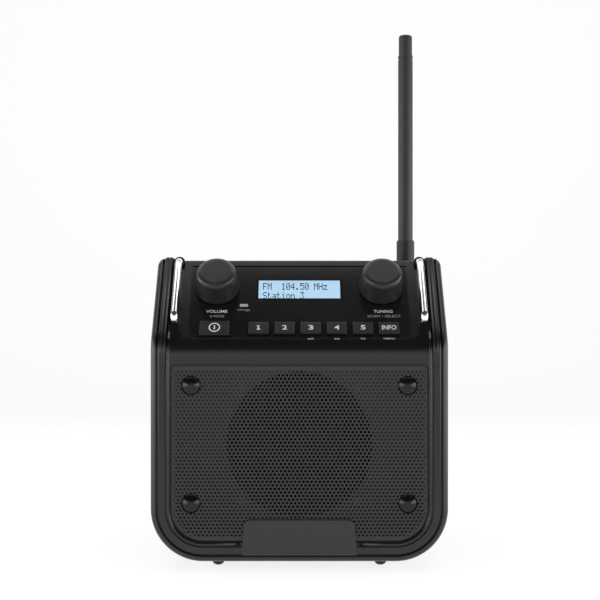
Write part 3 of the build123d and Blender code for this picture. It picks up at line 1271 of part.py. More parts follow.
def socket_flap():
    """Rubber flap over the sockets, hung on a pin along its upper edge."""
    x0, x1 = FLAP_MID - FLAP_WIDTH / 2, FLAP_MID + FLAP_WIDTH / 2
    rear = CASE_DEPTH - FLAP_SINK
    solid = block(x0, x1, rear - FLAP_THICK, rear, FLAP_LOW, FLAP_AXIS_Z)
    solid = fillet(solid.edges().filter_by(Axis.Y).sort_by(Axis.Z)[:2], FLAP_CORNER)
    solid += bar_x(FLAP_AXIS_Y, FLAP_AXIS_Z, FLAP_BARREL, x0, x1)
    return solid - bar_x(FLAP_AXIS_Y, FLAP_AXIS_Z, FLAP_PIN + RUNNING_FIT, x0 - 1.0, x1 + 1.0)


def flap_pin():
    reach = FLAP_WIDTH / 2 + FLAP_CLEAR + PIN_GRIP
    return bar_x(FLAP_AXIS_Y, FLAP_AXIS_Z, FLAP_PIN, FLAP_MID - reach, FLAP_MID + reach)


# --- boards, feet and fasteners ------------------------------------------------------------------
def main_board():
    solid = block(-MAIN_BOARD_HALF, MAIN_BOARD_HALF, MAIN_BOARD_FRONT, MAIN_BOARD_REAR, MAIN_BOARD_Z,
                  MAIN_BOARD_Z + BOARD_THICK)
    for x, y in board_spots():
        solid -= bar_z(x, y, BOARD_SCREW + SCREW_CLEAR, 0, MAIN_BOARD_Z + 5.0)
    return solid


def tuner_shield():
    """Folded tin can over the tuner."""
    z0 = MAIN_BOARD_Z + BOARD_THICK
    x0, y0 = -MAIN_BOARD_HALF + SHIELD_IN, MAIN_BOARD_FRONT + SHIELD_IN
    solid = block(x0, x0 + SHIELD_WIDE, y0, y0 + SHIELD_DEEP, z0, z0 + SHIELD_TALL)
    wall = SHIELD_WALL
    room = block(x0 + wall, x0 + SHIELD_WIDE - wall, y0 + wall, y0 + SHIELD_DEEP - wall, z0 - 1.0,
                 z0 + SHIELD_TALL - wall)
    return solid - room


def heat_sink():
    """Extruded fins over the amplifier."""
    z0 = MAIN_BOARD_Z + BOARD_THICK
    x0, y0 = SINK_X, MAIN_BOARD_FRONT + SHIELD_IN
    solid = block(x0, x0 + SINK_WIDE, y0, y0 + SHIELD_DEEP, z0, z0 + SINK_BASE)
    pitch = (SINK_WIDE - SINK_FIN) / (SINK_FINS - 1)
    for fin in range(SINK_FINS):
        x = x0 + fin * pitch
        solid += block(x, x + SINK_FIN, y0, y0 + SHIELD_DEEP, z0 + SINK_BASE, z0 + SINK_TALL)
    return solid


def capacitors():
    z0 = MAIN_BOARD_Z + BOARD_THICK
    cans = []
    for place in range(3):
        can = bar_z((place - 1) * CAN_PITCH, MAIN_BOARD_REAR - CAN_IN, CAN_RADIUS, z0, z0 + CAN_TALL)
        cans.append(fillet(can.edges().sort_by(Axis.Z)[-1], CELL_EDGE))
    return cans


def ribbon_cable():
    """Flat cable from the control board, over the speaker, down to the main board."""
    start = slope_point(0, BOARD_LOW + RIBBON_IN, BOARD_TOP - BOARD_THICK)
    lead = slope_point(0, BOARD_LOW + RIBBON_IN, BOARD_TOP - BOARD_THICK - RIBBON_LEAD)
    end = MAIN_BOARD_Z + BOARD_THICK
    points = [(start.Y, start.Z), (lead.Y, lead.Z), (RIBBON_Y, lead.Z - RIBBON_LEAD), (RIBBON_Y, end)]
    line = FilletPolyline(*points, radius=[RIBBON_BEND, RIBBON_BEND])
    return Pos(RIBBON_X, 0, 0) * extrude(Plane.YZ * trace(line, RIBBON_THICK), RIBBON_HALF, both=True)


def board_screws():
    screws = []
    for x, s in control_board_spots():
        seat = BOARD_TOP - BOARD_THICK
        shank = slope_bar(x, s, BOARD_SCREW, seat, -PANEL_BACK - SCREW_END)
        screws.append(shank + slope_bar(x, s, 2 * BOARD_SCREW, seat - BOARD_SCREW, seat))
    for x, y in board_spots():
        seat = MAIN_BOARD_Z + BOARD_THICK
        shank = bar_z(x, y, BOARD_SCREW, CASE_WALL + SCREW_END, seat)
        screws.append(shank + bar_z(x, y, 2 * BOARD_SCREW, seat, seat + BOARD_SCREW))
    return screws


def case_screws():
    screws = []
    for x, z in case_screw_spots():
        shank = bar_y(x, z, CASE_SCREW_RADIUS, CASE_SCREW_TIP + SCREW_END, HEAD_SEAT)
        screws.append(shank + bar_y(x, z, CASE_SCREW_HEAD, HEAD_SEAT, HEAD_SEAT + CASE_SCREW_TALL))
    return screws


def feet():
    """Rubber studs with a rounded sole and a plug in the case."""
    studs = []
    for x, y in foot_spots():
        stud = bar_z(x, y, FOOT_RADIUS, -FOOT_HEIGHT, 0)
        stud = fillet(stud.edges().sort_by(Axis.Z)[0], FOOT_ROUND)
        studs.append(stud + bar_z(x, y, FOOT_PLUG, 0, CASE_WALL))
    return studs


def main():
    os.makedirs("parts", exist_ok=True)
    export("rear_case", rear_case())
    export("front_bezel", front_bezel())
    case_seal = seal_strip(SKIRT_INSET, GASKET_WIDTH, SKIRT_DEPTH, GASKET_THICK)
    export("foam_seals", case_seal, speaker_gasket(), cover_seal())
    export("case_screws", *case_screws())
    export("feet", *feet())
    export("roll_bar_handle", roll_bar_handle())
    export("handle_sleeves", *handle_sleeves())
    export("handle_grip", handle_grip())
    export("handle_nuts", *handle_nuts())
    export("speaker_grille", speaker_grille())
    export("grille_studs", *grille_studs())
    export("name_plate", name_plate())
    for make in (dust_cloth, speaker_frame, surround, speaker_cone, dust_cap, voice_coil,
                 spider, speaker_magnet, speaker_yoke):
        export(make.__name__, make())
    export("small_screws", *speaker_screws(), *board_screws())
    for make in (control_fascia, display_window, display_glass, display_module, keypad_mat,
                 charge_light_lens):
        export(make.__name__, make())
    for name, x, width, height in buttons():
        export(name, button(x, width, height))
    for side, x in (("volume", -KNOB_X), ("tuning", KNOB_X)):
        export(f"{side}_knob", knob(x))
        export(f"{side}_shaft", encoder_shaft(x))
        export(f"{side}_plunger", encoder_plunger(x))
    export("encoders", encoder_body(-KNOB_X), encoder_body(KNOB_X))
    for make in (antenna_socket, antenna_collar, antenna_mast, antenna_tip):
        export(make.__name__, make())
    export("battery_cells", *battery_cells())
    export("battery_contacts", *battery_contacts())
    export("circuit_boards", control_board(), main_board(), jack_board())
    for make in (battery_cover, power_inlet, audio_inlet, socket_flap, flap_pin, tuner_shield, heat_sink,
                 ribbon_cable):
        export(make.__name__, make())
    export("capacitors", *capacitors())
    export("cover_screw_left", cover_screw(-THUMB_X))
    export("cover_screw_right", cover_screw(THUMB_X))


if __name__ == "__main__":
    main()
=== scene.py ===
"""Finishes, lettering, perforated grille and studio for a portable jobsite radio.

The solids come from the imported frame. This file gives each of them a finish, adds the pieces that
are too fine for the solids, and sets a plain studio round them. Lengths are metres.
"""

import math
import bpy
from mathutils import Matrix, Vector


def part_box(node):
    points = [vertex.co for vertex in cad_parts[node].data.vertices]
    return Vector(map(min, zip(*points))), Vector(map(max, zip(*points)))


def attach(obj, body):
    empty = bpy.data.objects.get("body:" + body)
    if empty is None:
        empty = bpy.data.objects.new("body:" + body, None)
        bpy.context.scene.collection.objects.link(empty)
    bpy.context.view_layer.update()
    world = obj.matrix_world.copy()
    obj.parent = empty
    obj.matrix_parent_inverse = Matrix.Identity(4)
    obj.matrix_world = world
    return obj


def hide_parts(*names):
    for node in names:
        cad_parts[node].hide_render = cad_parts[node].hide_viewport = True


bl_info = {
    "name": "Jobsite radio",
    "version": (1, 0, 0),
    "blender": (4, 2, 0),
    "location": "View3D > Sidebar > Radio",
    "description": "Finishes, lettering, grille and studio for a jobsite radio",
    "category": "Object",
}

import bmesh
import bpy
import numpy as np
from bpy.props import FloatProperty, FloatVectorProperty, PointerProperty, StringProperty
from bpy.types import Operator, Panel, PropertyGroup
from mathutils import Vector

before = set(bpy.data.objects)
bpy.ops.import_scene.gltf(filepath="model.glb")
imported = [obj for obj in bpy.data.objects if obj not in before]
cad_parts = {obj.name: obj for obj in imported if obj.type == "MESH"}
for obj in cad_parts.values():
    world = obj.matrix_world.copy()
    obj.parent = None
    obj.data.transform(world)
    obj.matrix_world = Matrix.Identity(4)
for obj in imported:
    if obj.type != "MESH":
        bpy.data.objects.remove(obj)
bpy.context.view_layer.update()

MM = 0.001
LEAN = math.radians(50.0)          # of the control panel, from horizontal
UP_SLOPE = Vector((0.0, math.cos(LEAN), math.sin(LEAN)))
OFF_SLOPE = Vector((0.0, -math.sin(LEAN), math.cos(LEAN)))
PRESETS = 5


def node_middle(node):
    """Middle of a node's box at rest."""
    low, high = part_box(node)
    return (low + high) / 2


# The front plane lies a little before the speaker grille's face. At the kink it would meet the slope.
GRILLE_SINK = 1.2 * MM
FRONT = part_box("speaker_grille")[0].y - GRILLE_SINK
KINK = Vector((0.0, FRONT, 177.5 * MM))
FASCIA_PROUD = 0.15 * MM

GLASS_TOP = -2.3 * MM              # the display cell's face, off the slope
BUTTON_TOP = 3.5 * MM              # the buttons' faces, off the slope
INK = 0.03 * MM                    # thickness of printed ink
STUD = 7.8 * MM                    # radius of the grille's studs

# Rows of lettering, up the slope from the kink.
LABEL_ROW = 6.7 * MM
BUTTON_ROW = 15.6 * MM
SECOND_ROW = 29.9 * MM             # the lines under the knobs' titles
TITLE_ROW = 34.8 * MM


# --- finishes -------------------------------------------------------------------------------------
class Value:
    """A number that changes over a surface. Sums written with it add Math nodes."""

    def __init__(self, finish, socket):
        self.finish = finish
        self.socket = socket

    def maths(self, operation, first, second):
        return self.finish.add("ShaderNodeMath", {"operation": operation}, {0: first, 1: second})

    def __add__(self, other):
        return self.maths("ADD", self, other)

    __radd__ = __add__

    def __sub__(self, other):
        return self.maths("SUBTRACT", self, other)

    def __mul__(self, other):
        return self.maths("MULTIPLY", self, other)

    __rmul__ = __mul__


class Finish:
    """A node material. Constants go on the shader's sockets, what varies is plugged in."""

    def __init__(self, name, **constants):
        self.material = bpy.data.materials.new(name)
        self.material.use_nodes = True
        self.tree = self.material.node_tree
        self.shader = self.tree.nodes["Principled BSDF"]
        for key, value in constants.items():
            socket = key.replace("_", " ").title().replace("Ior", "IOR")
            self.feed(self.shader.inputs[socket], value)

    def feed(self, socket, value):
        if isinstance(value, Value):
            self.tree.links.new(value.socket, socket)
        elif socket.type == "RGBA" and len(value) == 3:
            socket.default_value = (*value, 1.0)
        else:
            socket.default_value = value

    def add(self, kind, settings=(), inputs=(), output=0):
        """A node of a kind, its settings, the values or links of its sockets, and its output."""
        node = self.tree.nodes.new(kind)
        for key, value in dict(settings).items():
            if key == "stops":
                for stop, (place, shade) in zip(node.color_ramp.elements, value):
                    stop.position = place
                    stop.color = (shade, shade, shade, 1.0)
            else:
                setattr(node, key, value)
        for key, value in dict(inputs).items():
            self.feed(node.inputs[key], value)
        return Value(self, node.outputs[output])

    def where(self):
        return self.add("ShaderNodeTexCoord", output="Object")

    def noise(self, size, detail=2.0, stretch=(1.0, 1.0, 1.0)):
        """Noise whose spots are about size across, drawn out along an axis by stretch."""
        scale = tuple(1.0 / part for part in stretch)
        place = self.add("ShaderNodeMapping", {}, {"Vector": self.where(), "Scale": scale})
        inputs = {"Vector": place, "Scale": 1.0 / size, "Detail": detail}
        return self.add("ShaderNodeTexNoise", {}, inputs)

    def cells(self, size):
        inputs = {"Vector": self.where(), "Scale": 1.0 / size}
        return self.add("ShaderNodeTexVoronoi", {"feature": "F1"}, inputs)

    def stripes(self, pitch, axis="X"):
        """Straight stripes, one in each pitch."""
        settings = {"wave_type": "BANDS", "bands_direction": axis}
        inputs = {"Vector": self.where(), "Scale": 0.314 / pitch, "Distortion": 0.0}
        return self.add("ShaderNodeTexWave", settings, inputs)

    def step(self, value, low, high):
        return self.add("ShaderNodeValToRGB", {"stops": [(low, 0.0), (high, 1.0)]}, {0: value})

    def mix(self, factor, first, second):
        """A colour between two."""
        return self.add("ShaderNodeMix", {"data_type": "RGBA"}, {0: factor, 6: first, 7: second}, 2)

    def plug(self, socket, value):
        self.feed(self.shader.inputs[socket], value)

    def made(self, colours, roughness, height=None, depth=0.0):
        """The material: a factor with two colours, a roughness, and a relief of that depth."""
        self.plug("Base Color", self.mix(*colours))
        self.plug("Roughness", roughness)
        if height:
            inputs = {"Strength": 1.0, "Distance": depth, "Height": height}
            self.plug("Normal", self.add("ShaderNodeBump", {}, inputs))
        return self.material


def shade(colour, factor):
    """A colour made lighter or darker."""
    return tuple(min(1.0, part * factor) for part in colour)


def moulded(name, colour, roughness, grain=0.45 * MM, depth=0.012 * MM, spread=0.12, **constants):
    """Moulded plastic: fine spark-eroded grain, and slight broad changes of shade and gloss."""
    finish = Finish(name, **constants)
    fine = finish.noise(grain, 2.0)
    broad = finish.noise(60 * MM, 3.0)
    colours = (broad, shade(colour, 1.0 - spread), shade(colour, 1.0 + spread))
    return finish.made(colours, roughness + 0.10 * (broad - 0.5) + 0.08 * (fine - 0.5), fine, depth)


def rubber(name, colour, roughness=0.7, dust=1.35):
    """Soft rubber: matt, with a lighter bloom in patches."""
    finish = Finish(name)
    fine = finish.noise(0.3 * MM, 3.0)
    bloom = finish.step(finish.noise(9 * MM, 4.0), 0.45, 0.75)
    colours = (bloom, colour, shade(colour, dust))
    return finish.made(colours, roughness + 0.12 * (fine - 0.5) + 0.06 * bloom, fine, 0.015 * MM)


def polished(name, colour, roughness=0.06):
    """Plated and polished metal with faint wiping marks along it."""
    finish = Finish(name, metallic=1.0)
    haze = finish.step(finish.noise(25 * MM, 2.0), 0.4, 0.8)
    marks = finish.noise(1.5 * MM, 2.0)
    colours = (haze, colour, shade(colour, 0.96))
    return finish.made(colours, roughness + 0.04 * haze + 0.02 * marks)


def plated(name, colour, roughness=0.32, axis=(1.0, 12.0, 1.0)):
    """Rolled or plated sheet, with lines drawn out along one axis and cloudy patches."""
    finish = Finish(name, metallic=1.0)
    lines = finish.noise(0.35 * MM, 3.0, axis)
    cloud = finish.noise(12 * MM, 3.0)
    gloss = roughness + 0.16 * (lines - 0.5) + 0.12 * (cloud - 0.5)
    return finish.made((cloud, shade(colour, 0.88), colour), gloss, lines, 0.004 * MM)


def powder_coat(name, colour, roughness=0.5, peel=1.1 * MM):
    """Sprayed coat: orange peel over a fine speckle."""
    finish = Finish(name)
    skin = finish.noise(peel, 2.0)
    speckle = finish.cells(0.25 * MM)
    colours = (speckle, shade(colour, 0.85), shade(colour, 1.15))
    return finish.made(colours, roughness + 0.15 * (skin - 0.5), skin + 0.3 * speckle, 0.012 * MM)


def printed_ink(name, colour, roughness=0.45):
    """Screen-printed ink, a little uneven where it crossed the grain."""
    finish = Finish(name)
    fine = finish.noise(0.3 * MM, 3.0)
    colours = (fine, shade(colour, 0.92), shade(colour, 1.04))
    return finish.made(colours, roughness + 0.2 * (fine - 0.5), fine, 0.004 * MM)


def lit_cell(name, colour):
    """Backlit display cell: pale, with slight broad changes and faint stripes of dots."""
    finish = Finish(name, base_color=(0.01, 0.012, 0.015), roughness=0.25, emission_strength=1.2)
    broad = finish.noise(45 * MM, 1.0)
    dots = finish.stripes(0.6 * MM)
    lit = finish.mix(broad, shade(colour, 0.97), shade(colour, 1.03))
    finish.plug("Emission Color", finish.mix(0.04 * dots, lit, shade(colour, 0.6)))
    return finish.material


def clear_sheet(name, tint, alpha):
    """Thin clear sheet with a few fine scuffs."""
    finish = Finish(name, base_color=tint)
    scuffs = finish.step(finish.noise(0.8 * MM, 4.0, (6.0, 1.0, 1.0)), 0.62, 0.8)
    finish.plug("Roughness", 0.06 + 0.12 * scuffs)
    finish.plug("Alpha", alpha + 0.02 * scuffs)
    return finish.material


def circuit_board(name, mask, trace):
    """Solder mask over copper tracks, which show as lighter runs."""
    finish = Finish(name)
    tracks = finish.stripes(2.4 * MM, "X") * finish.stripes(3.1 * MM, "DIAGONAL")
    runs = finish.step(tracks, 0.45, 0.5)
    weave = finish.noise(0.5 * MM, 2.0)
    colours = (runs, mask, trace)
    return finish.made(colours, 0.28 + 0.1 * weave, runs, 0.03 * MM)


def cloth(name, colour, thread=0.5 * MM):
    """Plain woven cloth: warp and weft threads."""
    finish = Finish(name, sheen_weight=0.3)
    warp = finish.stripes(thread, "X")
    weft = finish.stripes(thread, "Z")
    colours = (warp * weft, shade(colour, 0.6), shade(colour, 1.4))
    return finish.made(colours, 0.85 + 0.1 * (warp - 0.5), warp + weft, 0.08 * MM)


def foam(name, colour):
    """Closed-cell foam: small dents where the skin was cut."""
    finish = Finish(name)
    pores = finish.cells(0.7 * MM)
    colours = (pores, shade(colour, 0.5), shade(colour, 1.5))
    return finish.made(colours, 0.8 + 0.15 * (pores - 0.5), pores, 0.15 * MM)


def paper(name, colour):
    """Pressed pulp with short fibres."""
    finish = Finish(name)
    fibre = finish.noise(0.4 * MM, 5.0, (1.0, 1.0, 4.0))
    colours = (fibre, shade(colour, 0.7), shade(colour, 1.4))
    return finish.made(colours, 0.75 + 0.2 * (fibre - 0.5), fibre, 0.05 * MM)


def wound_wire(name, colour):
    """Fine enamelled wire laid turn by turn."""
    finish = Finish(name, metallic=1.0)
    turns = finish.stripes(0.3 * MM, "Y")
    colours = (turns, shade(colour, 0.5), colour)
    return finish.made(colours, 0.3 + 0.1 * turns, turns, 0.1 * MM)


def banded(name, body, band, pitch, axis, roughness=0.4):
    """A printed sleeve or flat cable: one colour crossed by bands of another."""
    finish = Finish(name)
    bands = finish.step(finish.stripes(pitch, axis), 0.72, 0.76)
    fine = finish.noise(0.6 * MM, 2.0)
    colours = (bands, body, band)
    return finish.made(colours, roughness + 0.1 * (fine - 0.5), bands, 0.02 * MM)


def dress(material, *nodes):
    """Give CAD nodes a finish."""
    for node in nodes:
        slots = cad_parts[node].data.materials
        slots.clear()
        slots.append(material)


# --- shapes ---------------------------------------------------------------------------------------
def piece(name, points, faces, material, body, slot, smooth=False):
    """A new piece from points and faces, riding on a CAD body."""
    mesh = bpy.data.meshes.new(name)
    mesh.from_pydata(np.asarray(points, float).reshape(-1, 3).tolist(), [], faces)
    mesh.update()
    mesh.materials.append(material)
    mesh.polygons.foreach_set("use_smooth", [smooth] * len(mesh.polygons))
    made = bpy.data.objects.new(name, mesh)
    bpy.context.scene.collection.objects.link(made)
    if body:
        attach(made, body)
    return made


def tidy(mesh, gap=1e-7, outwards=True):
    """Merge doubled points and, on a closed mesh, turn the faces outwards."""
    work = bmesh.new()
    work.from_mesh(mesh)
    bmesh.ops.remove_doubles(work, verts=work.verts, dist=gap)
    if outwards:
        bmesh.ops.recalc_face_normals(work, faces=work.faces)
    work.to_mesh(mesh)
    work.free()


def closed_piece(*details, **options):
    """A new piece whose mesh is closed."""
    tidy(piece(*details, **options).data)


def thicken(made, name, thickness):
    """Give a flat piece its thickness, behind its face."""
    wall = made.modifiers.new(name, "SOLIDIFY")
    wall.thickness = thickness
    wall.offset = -1.0


def unit_rows(vectors):
    """Rows of vectors, each made one long."""
    return vectors / np.linalg.norm(vectors, axis=1, keepdims=True)


def grid_faces(rows, columns, round_rows=False, round_columns=False):
    """Quads between neighbours of a grid, closed round either way if asked."""
    row = np.arange(rows if round_rows else rows - 1)[:, None]
    column = np.arange(columns if round_columns else columns - 1)[None, :]
    after_row, after_column = (row + 1) % rows, (column + 1) % columns
    corners = (row * columns + column, row * columns + after_column,
               after_row * columns + after_column, after_row * columns + column)
    return np.stack(np.broadcast_arrays(*corners), -1).reshape(-1, 4).tolist()


def on_panel(flat, height):
    """Points drawn across and up the slope, put on it: kink + x across + s up + height off it."""
    flat = np.asarray(flat, float)
    across = np.array([1.0, 0.0, 0.0])
    place = flat[..., :1] * across + flat[..., 1:2] * np.array(UP_SLOPE)
    lift = (flat[..., 2:3] if flat.shape[-1] == 3 else 0.0) + height
    return place + lift * np.array(OFF_SLOPE) + np.array(KINK)


def word(text, x, s, width, height, weight=0.0):
    """One word as points and faces: letters scaled to width and height, round (x, s), INK thick."""
    curve = bpy.data.curves.new("word", "FONT")
    curve.body = text
    curve.offset = weight
    curve.extrude = 0.05
    curve.resolution_u = 3
    holder = bpy.data.objects.new("word", curve)
    bpy.context.scene.collection.objects.link(holder)
    scene_state = bpy.context.evaluated_depsgraph_get()
    mesh = bpy.data.meshes.new_from_object(holder.evaluated_get(scene_state))
    bpy.data.objects.remove(holder)
    tidy(mesh, 1e-5)
    points = np.empty(len(mesh.vertices) * 3)
    mesh.vertices.foreach_get("co", points)
    points = points.reshape(-1, 3)
    low, high = points.min(0), points.max(0)
    unit = (points - (low + high) / 2) / (high - low)
    placed = unit * (width, height, INK) + (x, s, 0.0)
    return placed, [list(face.vertices) for face in mesh.polygons]


def joined(parts):
    """Several sets of points and faces as one."""
    points, faces, start = [], [], 0
    for part_points, part_faces in parts:
        points.append(part_points)
        faces += [[start + corner for corner in face] for face in part_faces]
        start += len(part_points)
    return np.concatenate(points), faces


def flat_strip(path, width, closed):
    """A printed line: a strip of even width along a path, INK thick.

    Each point of the path p with direction t gives the four corners p +- n * width / 2 of a
    rectangle, where n is square to t, at the bottom and the top of the ink.
    """
    path = np.asarray(path, float)
    ahead = np.roll(path, -1, 0) if closed else np.vstack([path[1:], path[-1:]])
    back = np.roll(path, 1, 0) if closed else np.vstack([path[:1], path[:-1]])
    along = unit_rows(ahead - back)
    side = np.stack([-along[:, 1], along[:, 0]], 1) * width / 2
    left, right = path + side, path - side
    edges = ((left, -INK), (right, -INK), (right, INK), (left, INK))
    ring = np.stack([np.insert(edge, 2, height / 2, axis=1) for edge, height in edges], 1)
    faces = grid_faces(len(path), 4, round_rows=closed, round_columns=True)
    if not closed:
        last = 4 * (len(path) - 1)
        faces += [[0, 1, 2, 3], [last + 3, last + 2, last + 1, last]]
    return ring.reshape(-1, 3), faces


def rounded_path(corners, radius, steps=14):
    """A path of straight runs whose bend at each inner corner is an arc of that radius.

    The arc starts and ends at distance radius * tan(turn / 2) from the corner, and its points are
    centre + radius * (cos a, sin a).
    """
    corners = [np.asarray(corner, float) for corner in corners]
    points = [corners[0]]
    for before, corner, after in zip(corners, corners[1:], corners[2:]):
        inward = (before - corner) / np.linalg.norm(before - corner)
        outward = (after - corner) / np.linalg.norm(after - corner)
        half = math.acos(np.clip(inward @ outward, -1.0, 1.0)) / 2
        reach = radius / math.tan(half)
        reach = min(reach, np.linalg.norm(before - corner) / 2, np.linalg.norm(after - corner) / 2)
        middle = (inward + outward) / np.linalg.norm(inward + outward)
        centre = corner + middle * reach / math.cos(half)
        start, end = corner + inward * reach - centre, corner + outward * reach - centre
        turn = np.linspace(0.0, 1.0, steps)[:, None]
        swept = math.pi - 2 * half
        points += list(centre + (np.sin((1 - turn) * swept) * start + np.sin(turn * swept) * end)
                       / math.sin(swept))
    points.append(corners[-1])
    return np.array(points)


# --- what a user would change ---------------------------------------------------------------------
def colour_property(name, description, default):
    return FloatVectorProperty(name=name, description=description, subtype="COLOR", size=3,
                               min=0.0, max=1.0, default=default)


def length_property(name, description, default):
    return FloatProperty(name=name, description=description, default=default, unit="LENGTH",
                         min=0.0, precision=5)


def number_property(name, description, default, least=0.0):
    return FloatProperty(name=name, description=description, default=default, min=least)


class RadioFinishes(PropertyGroup):
    case: colour_property("Case", "Colour of the outer shell", (0.012, 0.012, 0.0125))
    bezel: colour_property("Bezel", "Colour of the front shell", (0.007, 0.007, 0.0075))
    fascia: colour_property("Fascia", "Colour of the panel's insert", (0.009, 0.009, 0.0095))
    buttons: colour_property("Buttons", "Colour of the push buttons", (0.005, 0.005, 0.0052))
    knobs: colour_property("Knobs", "Colour of the two knobs", (0.030, 0.030, 0.031))
    antenna: colour_property("Antenna", "Colour of the whip antenna", (0.014, 0.014, 0.0145))
    grille: colour_property("Grille", "Colour of the perforated sheet", (0.030, 0.030, 0.031))
    plate: colour_property("Plate", "Colour of the bare plate", (0.028, 0.028, 0.030))
    ink: colour_property("Ink", "Colour of the printed lettering", (0.90, 0.90, 0.90))
    faint_ink: colour_property("Faint ink", "Colour of the second lines of lettering",
                               (0.42, 0.42, 0.42))
    display: colour_property("Display", "Colour of the backlight", (0.462, 0.694, 0.913))
    characters: colour_property("Characters", "Colour of the display's characters",
                                (0.008, 0.022, 0.045))


class RadioGrille(PropertyGroup):
    pitch_x: length_property("Pitch across", "Distance between holes in a row", 3.25 * MM)
    pitch_z: length_property("Pitch of rows", "Distance between rows of holes", 2.8 * MM)
    hole: length_property("Hole radius", "Radius of a hole", 1.12 * MM)
    margin: length_property("Margin", "Plain edge of the sheet", 0.3 * MM)
    thickness: length_property("Thickness", "Thickness of the sheet", 1.2 * MM)
    foot_radius: length_property("Lower corners", "Radius of the sheet's lower corners", 24.7 * MM)
    head_radius: length_property("Upper corners", "Radius of the sheet's upper corners", 3.0 * MM)


class RadioLettering(PropertyGroup):
    title_height: length_property("Titles", "Height of the knobs' titles", 3.0 * MM)
    line_height: length_property("Second lines", "Height of the lines under the titles", 2.5 * MM)
    digit_height: length_property("Digits", "Height of the presets' numbers", 4.6 * MM)
    label_height: length_property("Labels", "Height of the labels under the buttons", 1.7 * MM)
    first_row: StringProperty(name="First row", description="Upper row of the display",
                              default="FM  104.50 MHz")
    second_row: StringProperty(name="Second row", description="Lower row of the display",
                               default="Station 3")


class RadioStage(PropertyGroup):
    distance: length_property("Camera distance", "From the origin to the camera", 1.0946)
    eye_height: length_property("Eye height", "Height of the camera", 0.2135)
    lens: number_property("Lens", "Focal length on a 36 mm sensor, in millimetres", 75.76, 10.0)
    horizon: number_property("Horizon", "Light from the sides", 1.0)
    zenith: number_property("Zenith", "Light from overhead", 0.06)
    overhead: number_property("Overhead box", "Brightness of the box above", 2.0)
    sides: number_property("Side boxes", "Brightness of the boxes at the sides", 2.6)
    front: number_property("Front box", "Brightness of the box behind the camera", 0.15)


# --- finishing the solids --------------------------------------------------------------------------
class RADIO_OT_shells(Operator):
    """Finish the case, the bezel, the seals, the feet and the screws between them"""
    bl_idname = "radio.shells"
    bl_label = "Shells"

    def execute(self, context):
        tint = context.scene.radio_finishes
        dress(moulded("case_plastic", tint.case, 0.34), "rear_case", "battery_cover")
        dress(moulded("bezel_plastic", tint.bezel, 0.20, 0.4 * MM, 0.003 * MM), "front_bezel")
        dress(foam("seal_foam", (0.045, 0.045, 0.046)), "foam_seals")
        dress(rubber("foot_rubber", (0.020, 0.020, 0.021), 0.65), "feet")
        dress(plated("zinc_screw", (0.60, 0.60, 0.60)), "case_screws", "small_screws", "handle_nuts")
        return {"FINISHED"}


class RADIO_OT_panel(Operator):
    """Finish the fascia, its buttons, the charge light and the display's window"""
    bl_idname = "radio.panel"
    bl_label = "Control panel"

    def execute(self, context):
        tint = context.scene.radio_finishes
        dress(moulded("fascia_plastic", tint.fascia, 0.12, 0.5 * MM, 0.0012 * MM), "control_fascia")
        presets = [f"preset_button_{number}" for number in range(1, PRESETS + 1)]
        dress(rubber("button_rubber", tint.buttons, 0.30, 1.2), "power_button", "info_button",
              *presets)
        dress(clear_sheet("window_sheet", (0.02, 0.022, 0.025), 0.10), "display_window")
        dress(moulded("light_lens", (0.50, 0.49, 0.47), 0.35, 0.3 * MM), "charge_light_lens")
        return {"FINISHED"}


class RADIO_OT_knobs(Operator):
    """Finish the two knobs, their shafts and the encoders behind them"""
    bl_idname = "radio.knobs"
    bl_label = "Knobs"

    def execute(self, context):
        tint = context.scene.radio_finishes
        knob = moulded("knob_plastic", tint.knobs, 0.28, 0.35 * MM, 0.006 * MM,
                       specular_ior_level=0.35)
        dress(knob, "volume_knob", "tuning_knob")
        dress(plated("shaft_steel", (0.62, 0.62, 0.63), 0.25, (1.0, 1.0, 8.0)),
              "volume_shaft", "tuning_shaft")
        dress(moulded("plunger_plastic", (0.42, 0.43, 0.40), 0.4), "volume_plunger", "tuning_plunger")
        dress(plated("encoder_case", (0.55, 0.54, 0.50), 0.3), "encoders")
        return {"FINISHED"}


class RADIO_OT_handle(Operator):
    """Finish the polished rod, its rubber sleeves and the grip"""
    bl_idname = "radio.handle"
    bl_label = "Handle"

    def execute(self, context):
        dress(polished("rod_chrome", (0.92, 0.92, 0.93), 0.12), "roll_bar_handle")
        dress(rubber("sleeve_rubber", (0.016, 0.016, 0.017), 0.55), "handle_sleeves")
        dress(rubber("grip_rubber", (0.020, 0.020, 0.021), 0.72, 1.5), "handle_grip")
        return {"FINISHED"}


class RADIO_OT_antenna(Operator):
    """Finish the whip antenna, its collar and its socket"""
    bl_idname = "radio.antenna"
    bl_label = "Antenna"

    def execute(self, context):
        tint = context.scene.radio_finishes
        dress(rubber("antenna_rubber", tint.antenna, 0.45, 1.1), "antenna_mast", "antenna_tip")
        dress(moulded("collar_plastic", tint.antenna, 0.40, 0.3 * MM, specular_ior_level=0.3),
              "antenna_collar")
        dress(plated("socket_brass", (0.62, 0.60, 0.52), 0.3), "antenna_socket")
        return {"FINISHED"}


